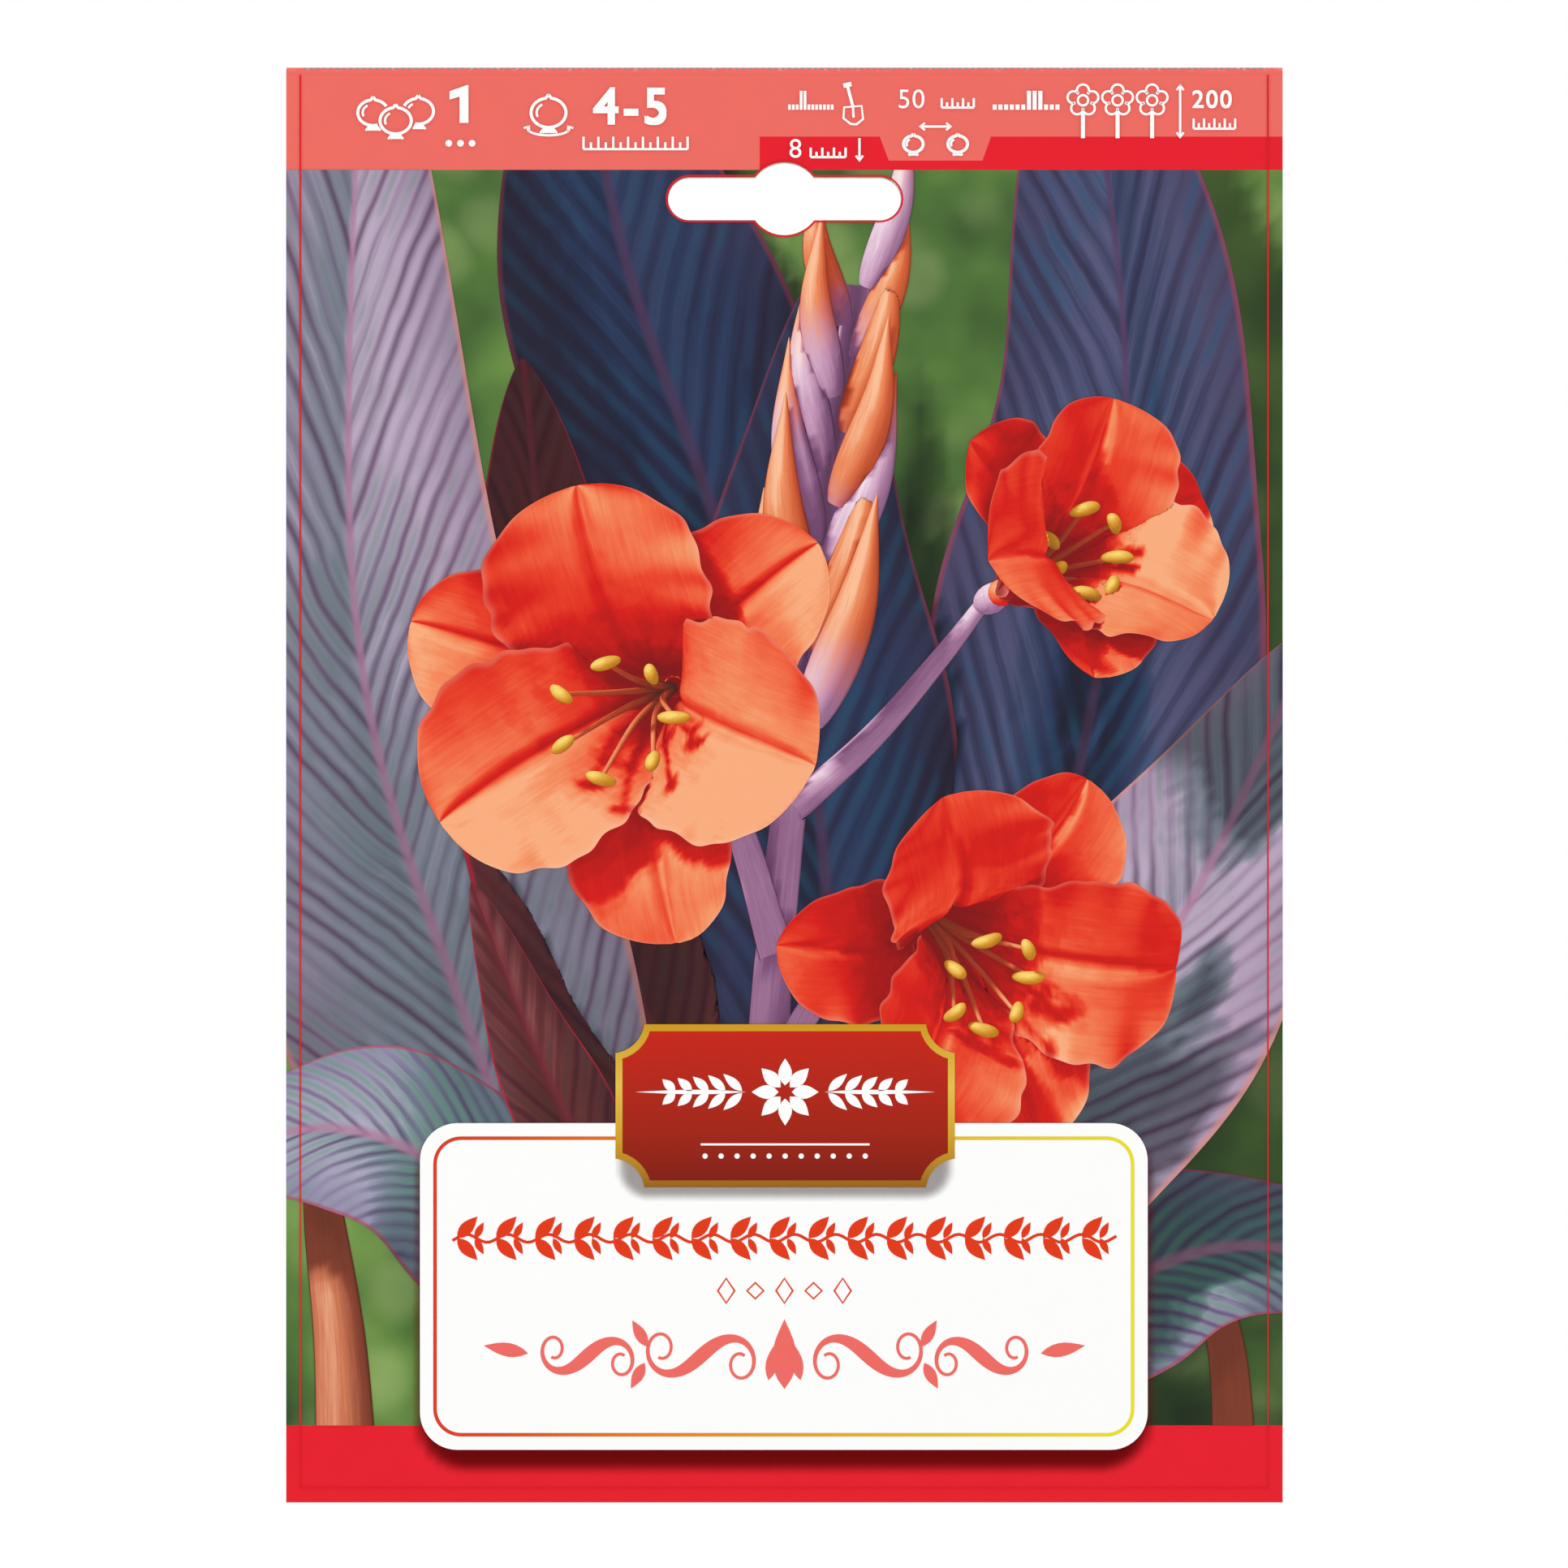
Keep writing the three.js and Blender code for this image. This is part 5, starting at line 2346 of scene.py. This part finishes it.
class BarkFinish(Finish):
    """Dry papery bark, ringed by leaf scars, with pink eyes, a pale cut stem and tan roots, and painted shade
    in its rings.
    """

    barks = shades((0.3, 126, 86, 54), (0.44, 164, 120, 78), (0.56, 192, 150, 104), (0.7, 214, 180, 136))
    blush = shades((0.5, 204, 160, 118), (0.8, 206, 142, 122), (1.0, 170, 74, 82))
    shaded, paper, split = ink(112, 74, 46), ink(222, 190, 146), ink(96, 64, 42)
    scarred, soiled = ink(70, 44, 28), ink(92, 66, 46)
    bud_fold, bud_scar = ink(150, 82, 74), ink(130, 80, 58)
    cut_dark, cut_pale = ink(196, 160, 108), ink(236, 214, 168)
    root_dark, root_pale = ink(142, 104, 66), ink(204, 170, 122)

    def material(self) -> Material:
        """Builds the material from the mesh's own marks.

        Returns:
            The finished material.
        """
        graph = Graph("rhizome_bark")
        place = graph.place()
        run, u, v, phase, share = graph.read("run", "u", "v", "phase", "share")
        fibre = graph.noise(graph.vector(u * 2.2, v * 2.2, run * 0.2), 1.0, 4.0, 0.6)
        cloud = graph.noise(place, 130.0, 3.0, 0.55)
        step = graph.math("FRACT", phase)
        papery = graph.between(step, 0.04, 0.08) * (1.0 - graph.between(step, 0.08, 0.26 + cloud * 0.2))
        splits = graph.noise(graph.vector(u * 3.4, v * 3.4, run * 0.1), 1.0, 2.0)
        worn = graph.between(graph.noise(place, 330.0), 0.36, 0.56)
        scar = worn * (1.0 - graph.between(0.5 - abs(step - 0.5) + (fibre - 0.5) * 0.06, 0.01, 0.05))
        soil = graph.between(graph.noise(place, 60.0, 4.0, 0.65), 0.56, 0.68)
        bark = graph.coats(
            graph.ramp(fibre * 0.3 + cloud * 0.3 + graph.noise(place, 42.0) * 0.4, self.barks),
            # Painted shade: the bark darkens towards each raised scar collar.
            (step**3.0 * 0.45, self.shaded),
            (papery * fibre * 0.8, self.paper),
            (graph.between(splits, 0.62, 0.72) * 0.45, self.split),
            (scar * 0.85, self.scarred),
            (soil * 0.55, self.soiled),
        )
        along = share + (fibre - 0.5) * 0.24
        # Painted shade: each eye scale darkens towards the next scale that overlaps it.
        folds = ((step**2.0 * 0.35, self.bud_fold), (scar * 0.6, self.bud_scar))
        bud = graph.coats(graph.ramp(along, self.blush), *folds)
        eye, cut, root = graph.read("eye", "cut", "root")
        colour = graph.coats(
            bark,
            (eye * graph.between(along, 0.4, 0.95), bud),
            (cut, graph.mix(fibre, self.cut_dark, self.cut_pale)),
            (root, graph.mix(cloud, self.root_dark, self.root_pale)),
        )
        normal = graph.bump(fibre + cloud * 0.4 - scar * 0.3, 0.0006, 0.8)
        return graph.skin(colour, fibre * 0.25 + 0.6, normal, 0.3)


class Rhizome:
    """The rhizome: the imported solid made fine, with scars, bark, eyes and thin roots."""

    voxel = 0.7
    root_count = 30
    crowding = 0.035
    crowd_turns = 11.0
    collar = 0.55
    scale = 0.35
    root_spread = (-9, 9)
    root_drop = (14, 26)
    root_bend = (1, 3)
    root_girths = [0.95 - 0.07 * step for step in range(9)]
    marks = ("run", "u", "v", "phase", "share", "eye", "cut", "root")

    def __init__(self) -> None:
        """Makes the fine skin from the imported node, and keeps a tree of it for what lies round it."""
        self.draw = random.Random(31)
        packed = bmesh.new()
        packed.from_mesh(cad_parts["rhizome"].data)
        bmesh.ops.remove_doubles(packed, verts=packed.verts, dist=1e-7)
        bmesh.ops.scale(packed, vec=(1 / MM,) * 3, verts=packed.verts)
        mesh = bpy.data.meshes.new("voxels")
        packed.to_mesh(mesh)
        packed.free()
        holder = bpy.data.objects.new("voxels", mesh)
        modifier = holder.modifiers.new("voxels", "REMESH")
        modifier.mode, modifier.voxel_size = "VOXEL", self.voxel
        self.bm = evaluated(holder)
        bpy.data.meshes.remove(mesh)
        self.tree = BVHTree.FromBMesh(self.bm)

    def nearest(self, places: Array) -> tuple[Array, Array, Array]:
        """Finds each place's own limb.

        Args:
            places: Points on the skin, one a row.

        Returns:
            The limb's number, the step along its spine, and the distance from it in limb radii.
        """
        gaps = [np.linalg.norm(places[:, None] - limb.spine()[None], axis=2) / limb.radius for limb in LIMBS]
        number = np.argmin([gap.min(axis=1) for gap in gaps], axis=0)
        own = np.array(gaps)[number, np.arange(len(places))]
        return number, own.argmin(axis=1), own.min(axis=1)

    def measure(self, places: Array, limbs: Array, steps: Array) -> Array:
        """Measures where each place is on its limb.

        Args:
            places: Points on the skin, one a row.
            limbs: The number of each one's limb.
            steps: The step of each along that limb's spine.

        Returns:
            The mm along the limb, two offsets across it, and the share of its length.
        """
        found = np.zeros((len(places), 4))
        for number, limb in enumerate(LIMBS):
            own, spine = limbs == number, limb.spine()
            way = unit(np.gradient(spine, axis=0))
            side = unit(np.cross(way, (0.0, 1.0, 0.0)))
            frames = np.stack([way, side, np.cross(side, way)], axis=1)[steps[own]]
            parts = np.einsum("ikj,ij->ik", frames, places[own] - spine[steps[own]])
            pace = np.linalg.norm(np.diff(spine, axis=0), axis=1).mean()
            parts[:, 0] += steps[own] * pace
            found[own] = np.column_stack([parts, parts[:, 0] / (pace * (len(spine) - 1))])
        return found

    def carve(self) -> None:
        """Raises the scars' collars, the overlapping scales of the eyes and the bark's lumps."""
        every_axis = {"use_axis_x": True, "use_axis_y": True, "use_axis_z": True}
        bmesh.ops.smooth_vert(self.bm, verts=self.bm.verts, factor=0.5, **every_axis)
        self.bm.normal_update()
        tags = [self.bm.verts.layers.float.new(name) for name in self.marks]
        verts = list(self.bm.verts)
        places = np.array([vert.co for vert in verts])
        limbs, steps, gaps = self.nearest(places)
        measures = self.measure(places, limbs, steps)
        for vert, number, gap, (run, u, v, share) in zip(verts, limbs, gaps, measures):
            limb, spot = LIMBS[number], vert.co.copy()
            ragged = noise.noise(spot * 0.45)
            crowding = self.crowding * math.sin(self.crowd_turns * share + number)
            phase = limb.scars * (share + crowding) + 0.16 * ragged
            step = phase - math.floor(phase)
            is_root, is_eye = gap > 1.3 and spot.z < -146, limb.kind is Growing.EYE
            is_cut = limb.kind is Growing.STEM and share > 0.93
            bark = 0.5 * ragged + 0.28 * noise.noise(spot * 1.2) + 0.1 * noise.noise(spot * 3.1)
            if is_root:
                rise = 0.12 * bark
            elif is_eye:
                rise = self.scale * (1 - step) + 0.1 * bark
            else:
                rise = self.collar * math.exp(-((min(step, 1 - step) / 0.1) ** 2)) + bark
            vert.co = spot + vert.normal * rise
            for tag, value in zip(tags, (run, u, v, phase, share, is_eye, is_cut, is_root)):
                vert[tag] = float(value)

    def roots(self, bed: "Bed") -> Mesh:
        """Makes the thin roots, which run down from the stock over the bed.

        Args:
            bed: The bed that they rest on.

        Returns:
            The new mesh.
        """
        pen = Pen()
        pen.curve.bevel_resolution = 0
        spine = LIMBS[0].spine()
        for _ in range(self.root_count):
            x, y, z = spine[self.draw.randrange(6, 55)]
            aside, drop = self.draw.uniform(*self.root_spread), self.draw.uniform(*self.root_drop)
            bend, phase = self.draw.uniform(*self.root_bend), self.draw.uniform(0, TAU)
            path = []
            for run in (step / 8 for step in range(9)):
                px = float(np.clip(x + aside * run + bend * math.sin(4 * run + phase), -50, 50))
                pz = max(z - drop * run, -165.0)
                room, resting = BELLY.stand(px, pz, 0.5) - 1.2, bed.surface(px, pz) + 0.9
                path.append((px, min(max(resting, y * (1 - run)), room), pz))
            pen.stroke(path, self.root_girths)
        return meshed(pen.curve)

    def build(self, bed: "Bed") -> None:
        """Finishes the rhizome and its roots as one piece.

        Args:
            bed: The bed that it lies in.
        """
        self.carve()
        skin_verts = len(self.bm.verts)
        add_to(self.bm, self.roots(bed))
        self.bm.verts.ensure_lookup_table()
        tag = self.bm.verts.layers.float["root"]
        for vert in self.bm.verts[skin_verts:]:
            vert[tag] = 1.0
        piece = publish("canna_rhizome", self.bm, TO_METRES, [BarkFinish()])
        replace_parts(piece, "rhizome")


# ---- wood shavings


class ShavingFinish(Finish):
    """Raw planed softwood, each curl in its own shade, with grain along it."""

    woods = shades((0.05, 192, 146, 96), (0.3, 220, 182, 132), (0.6, 236, 208, 166), (0.9, 248, 231, 202))

    def material(self) -> Material:
        """Builds the material.

        Returns:
            The finished material.
        """
        graph = Graph("raw_shavings")
        tone, run, off = graph.read("tone", "run", "off")
        grain = graph.noise(graph.vector(off * 3.2, run * 0.12, tone), 2.0, 4.0, 0.6)
        colour = graph.ramp(tone + (grain - 0.5) * 0.36, self.woods)
        return graph.skin(colour, grain * 0.2 + 0.68, graph.bump(grain, 0.0002, 0.7), 0.3)


class BedFinish(Finish):
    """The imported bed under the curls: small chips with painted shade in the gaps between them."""

    chips = shades((0.1, 168, 122, 76), (0.5, 210, 170, 120), (0.9, 238, 212, 170))
    # The colour of the painted shade in the gaps between the chips.
    gap = ink(104, 70, 42)

    def material(self) -> Material:
        """Builds the material.

        Returns:
            The finished material.
        """
        graph = Graph("packed_chips")
        x, y, z = graph.axes()
        sway = graph.noise(graph.place(), 160.0) * 0.004
        spread = graph.vector(x + sway, y, (z - sway) * 0.45)
        gap, shade = graph.cells(spread, 330.0), graph.cells(spread, 330.0, "Color")
        fibre = graph.noise(graph.vector(x, y, z * 0.2), 2400.0)
        chips = graph.ramp(graph.math("MULTIPLY", shade, 0.8) + fibre * 0.3, self.chips)
        # Painted shade: the gaps between the chips are darkened.
        colour = graph.mix(graph.between(gap, 0.5, 0.85), chips, self.gap)
        return graph.skin(colour, fibre * 0.15 + 0.78, graph.bump(1.0 - gap, 0.0012, 0.9))


def eased(value: float, low: float, high: float) -> float:
    """Keeps a value between two limits, pressed together near them but never quite flat.

    Args:
        value: The value.
        low: The lower limit.
        high: The upper limit.

    Returns:
        The value, or one pressed towards the middle.
    """
    give = min(1.2, (high - low) / 3)
    if value < low + give:
        return low + give * math.exp((value - low - give) / give)
    if value > high - give:
        return high - give * math.exp((high - give - value) / give)
    return value


@dataclass
class Bed:
    """The dry bed of wood shavings that the rhizome is packed in."""

    front: float = 0.4
    inset: float = 4.0
    round_foot: float = 14.0
    top: float = -96.0
    slope: float = 18.0
    share: float = 0.5
    least: float = 1.2
    columns: int = 108
    rows: int = 74
    curls: int = 900
    curl_steps: int = 6
    ribbon_share: float = 0.1
    thickness: float = 0.24
    clearance: float = 3.2
    curl_radius = (1.8, 4.4)
    curl_sweep = (1.1, 4.2)
    curl_width = (2.2, 6.2)
    curl_wind = (-2.5, 2.5)

    def brim(self, x: Array) -> Array:
        """The uneven height that the bed reaches at x."""
        return self.top - 1.4 + 2.2 * np.sin(x * 0.13 + 0.6) + 1.4 * np.sin(x * 0.33 + 2.0)

    def flank(self, z: Array) -> Array:
        """Half the bed's uneven width at z, less where its foot rounds off."""
        rounding = np.clip((BELLY.bottom + self.round_foot - z) / self.round_foot, 0, 1) ** 2
        return 53.6 - 0.9 * np.sin(z * 0.27) - 0.7 * np.sin(z * 0.71 + 1.0) - 9.0 * rounding

    def foot(self, x: Array) -> Array:
        """The uneven height of the bed's foot at x."""
        return BELLY.bottom + self.inset + 0.6 * np.sin(x * 0.22) + 0.5 * np.sin(x * 0.63 + 1.0)

    def surface(self, x: Array, z: Array) -> Array:
        """Works out how far behind the card the bed's uneven surface lies.

        Args:
            x: Places across the card.
            z: Places up the card.

        Returns:
            The distance at each place.
        """
        ripple = 1 + 0.1 * np.sin(x * 0.31 + z * 0.17) + 0.07 * np.sin(x * 0.13 - z * 0.41)
        settled = np.clip((self.brim(x) - z) / self.slope, 0, 1)
        settled = settled * settled * (3 - 2 * settled)
        return np.maximum(self.least, BELLY.stand(x, z, 0.5) * self.share * ripple * settled)

    def core(self, tree: BVHTree) -> Mesh:
        """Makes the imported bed, which dips under the rhizome and is closed against the film in front.

        Args:
            tree: The rhizome's skin.

        Returns:
            The new mesh.
        """
        bm = bmesh.new()
        verts, across, up = sheet(bm, self.columns, self.rows)
        x = across * (self.flank(self.foot(0.0) + (self.top - self.foot(0.0)) * up) - 1.0)
        z = self.foot(x) + (self.brim(x) - self.foot(x)) * up
        for vert, px, pz, depth in zip(verts, x, z, self.surface(x, z)):
            rough = 0.9 * noise.noise(Vector((px, pz, 3)) * 0.3)
            rough += 0.5 * noise.noise(Vector((px, pz, 9)) * 0.8)
            hit = tree.ray_cast(Vector((px, -5.0, pz)), Vector((0, 1, 0)))[0]
            under = depth + rough if hit is None else max(self.front + 0.3, min(depth + rough, hit.y - 0.6))
            vert.co = (px, under, pz)
        close_sheet(bm, [edge for edge in bm.edges if edge.is_boundary], 1, self.front)
        return bm

    def curl(self, draw: random.Random, seat: Vector) -> Mesh:
        """Makes one curled shaving.

        Args:
            draw: The source of its shape and turn.
            seat: Where its middle rests.

        Returns:
            The curl, with marks along and across it.
        """
        ranges = (self.curl_radius, self.curl_sweep, self.curl_width, self.curl_wind)
        radius, sweep, width, wind = (draw.uniform(*reach) for reach in ranges)
        tone = draw.random()
        if draw.random() < self.ribbon_share:
            radius, sweep, width, wind = radius * 0.7, sweep + 5.0, width * 0.6, wind * 4
        bm = bmesh.new()
        bmesh.ops.create_grid(bm, x_segments=1, y_segments=self.curl_steps + int(sweep * 1.6), size=1.0)
        tags = [bm.verts.layers.float.new(name) for name in ("run", "off", "tone")]
        for vert in bm.verts:
            across, along = vert.co.x / 2, (vert.co.y + 1) / 2
            turn, reach = sweep * along, radius * (0.75 + 0.45 * along)
            side = across * width * (1 - 0.5 * along**3)
            for tag, value in zip(tags, (radius * turn, across * width, tone)):
                vert[tag] = value
            vert.co = (reach * math.sin(turn), side + wind * along, radius - reach * math.cos(turn))
        bmesh.ops.solidify(bm, geom=bm.faces[:], thickness=self.thickness)
        turn = Matrix.Rotation(draw.uniform(0, TAU), 4, "Y") @ Matrix.Rotation(draw.gauss(0, 0.6), 4, "X")
        lean = Matrix.Rotation(draw.gauss(0, 0.6), 4, "Z") @ Matrix.Rotation(math.pi / 2, 4, "X")
        bm.transform(Matrix.Translation(seat) @ turn @ lean)
        for spot in (vert.co for vert in bm.verts):
            half = self.flank(spot.z)
            spot.x = eased(spot.x, -half, half)
            spot.z = eased(spot.z, self.foot(spot.x) - 0.8, 0.0)
            spot.y = eased(spot.y, self.front + 0.1, BELLY.stand(spot.x, spot.z, 0.5) - 0.4)
        return bm

    def loose(self, tree: BVHTree) -> Mesh:
        """Scatters the curls over the bed.

        Args:
            tree: The rhizome's skin, which they keep clear of.

        Returns:
            The new mesh.
        """
        draw, pile, placed = random.Random(77), bmesh.new(), 0
        while placed < self.curls:
            x = draw.uniform(-51, 51)
            z = draw.uniform(BELLY.bottom + 5, self.brim(x) - 0.5)
            seat = Vector((x, self.surface(x, z) + draw.uniform(-0.6, 1.6), z))
            outside = abs(x) > self.flank(z) - 1.5 or tree.find_nearest(seat)[3] < self.clearance
            if outside or tree.ray_cast(Vector((x, -5, z)), Vector((0, 1, 0)))[0]:
                continue
            add_to(pile, self.curl(draw, seat))
            placed += 1
        return pile

    def build(self, tree: BVHTree) -> None:
        """Makes the bed and the curls as one piece with two finishes.

        Args:
            tree: The rhizome's skin.
        """
        pile = self.loose(tree)
        curls = len(pile.faces)
        add_to(pile, self.core(tree))
        pile.faces.ensure_lookup_table()
        for face in pile.faces[curls:]:
            face.material_index = 1
        finishes = [ShavingFinish(), BedFinish()]
        piece = publish("shavings_bed", pile, TO_METRES, finishes)
        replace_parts(piece, "wood_shavings")


class GlueFinish(Finish):
    """Hot-melt glue: pale, satin and slightly wavy."""

    dull, pale = ink(214, 203, 172), ink(238, 230, 206)

    def material(self) -> Material:
        """Builds the material.

        Returns:
            The finished material.
        """
        graph = Graph("hot_melt")
        wave = graph.noise(graph.place(), 180.0)
        colour = graph.mix(wave, self.dull, self.pale)
        return graph.skin(colour, wave * 0.2 + 0.36, graph.bump(wave, 0.0004), 0.45)


# ---- studio


@dataclass
class Studio:
    """The camera, the lights and the floor, in metres."""

    lens: float = 200.0
    distance: float = 1.1967
    aim: tuple[float, float] = (-0.00006, -0.0804)
    middle: Place = (0.0, 0.0, -0.08)
    floor_height: float = -0.45
    floor_radius: float = 2.0
    room_light: float = 0.935
    lamps = (
        ("key_light", (-1.1, -1.4, 1.0), 1.2, 1.2, 6.0),
        ("back_light", (0.9, 1.8, 1.3), 0.5, 0.5, 4.0),
        ("back_strip", (-0.7, 1.6, 0.3), 0.16, 1.3, 3.0),
    )
    floor_shade, floor_light = ink(236, 236, 235), ink(242, 242, 241)

    def place(self, name: str, data: bpy.types.ID) -> bpy.types.Object:
        """Puts a new object into the scene.

        Args:
            name: Its name.
            data: What it shows.

        Returns:
            The new object.
        """
        made = bpy.data.objects.new(name, data)
        bpy.context.scene.collection.objects.link(made)
        return made

    def camera(self) -> None:
        """Places the camera square to the card."""
        data = bpy.data.cameras.new("camera")
        data.lens, data.sensor_width = self.lens, 36.0
        data.clip_start, data.clip_end = 0.05, 20.0
        camera = self.place("camera", data)
        camera.location = (self.aim[0], CARD.front * MM - self.distance, self.aim[1])
        camera.rotation_euler = (math.pi / 2, 0, 0)
        bpy.context.scene.camera = camera

    def lights(self) -> None:
        """Hangs the soft lights, each aimed at the packet."""
        for name, place, width, height, power in self.lamps:
            data = bpy.data.lights.new(name, "AREA")
            data.shape = "RECTANGLE"
            data.size, data.size_y, data.energy = width, height, power
            lamp = self.place(name, data)
            lamp.location = place
            lamp.rotation_euler = (Vector(self.middle) - Vector(place)).to_track_quat("-Z", "Y").to_euler()

    def sky(self) -> None:
        """Sets the even white surroundings, a little dimmer as light than as backdrop."""
        world = bpy.data.worlds.new("white_room")
        world.use_nodes = True
        tree = world.node_tree
        tree.nodes.clear()
        kinds = ("LightPath", "MapRange", "Background", "OutputWorld")
        path, level, room, out = (tree.nodes.new("ShaderNode" + kind) for kind in kinds)
        level.inputs["To Min"].default_value = self.room_light
        room.inputs["Color"].default_value = (1, 1, 1, 1)
        tree.links.new(path.outputs["Is Camera Ray"], level.inputs["Value"])
        tree.links.new(level.outputs[0], room.inputs["Strength"])
        tree.links.new(room.outputs[0], out.inputs[0])
        bpy.context.scene.world = world

    def floor(self) -> None:
        """Lays the pale round floor well under the hanging packet."""
        bm = bmesh.new()
        bmesh.ops.create_circle(bm, cap_ends=True, segments=96, radius=self.floor_radius)
        bmesh.ops.translate(bm, vec=(0, 0, self.floor_height), verts=bm.verts)
        mesh = bpy.data.meshes.new("floor")
        bm.to_mesh(mesh)
        bm.free()
        graph = Graph("pale_floor")
        colour = graph.mix(graph.noise(graph.place(), 3.0, 2.0), self.floor_shade, self.floor_light)
        mesh.materials.append(graph.skin(colour, 0.8))
        self.place("floor", mesh)

    def build(self) -> None:
        """Sets up the studio."""
        for part in (self.camera, self.sky, self.lights, self.floor):
            part()
        bpy.context.scene.view_settings.view_transform = "Standard"


# ---- assembly


def main() -> None:
    """Builds the packet piece by piece."""
    logging.basicConfig(level=logging.INFO, format="%(name)s: %(message)s", stream=sys.stdout)
    Studio().build()
    dress(["card"], BoardFinish())
    for print_layer in (Header(), Picture(), Keylines(), Panel(), Badge()):
        print_layer.build()
    dress([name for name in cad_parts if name.startswith("glue_")], GlueFinish())
    rhizome, bed = Rhizome(), Bed()
    bed.build(rhizome.tree)
    rhizome.build(bed)
    FilmBag().build()


if __name__ == "__main__":
    main()
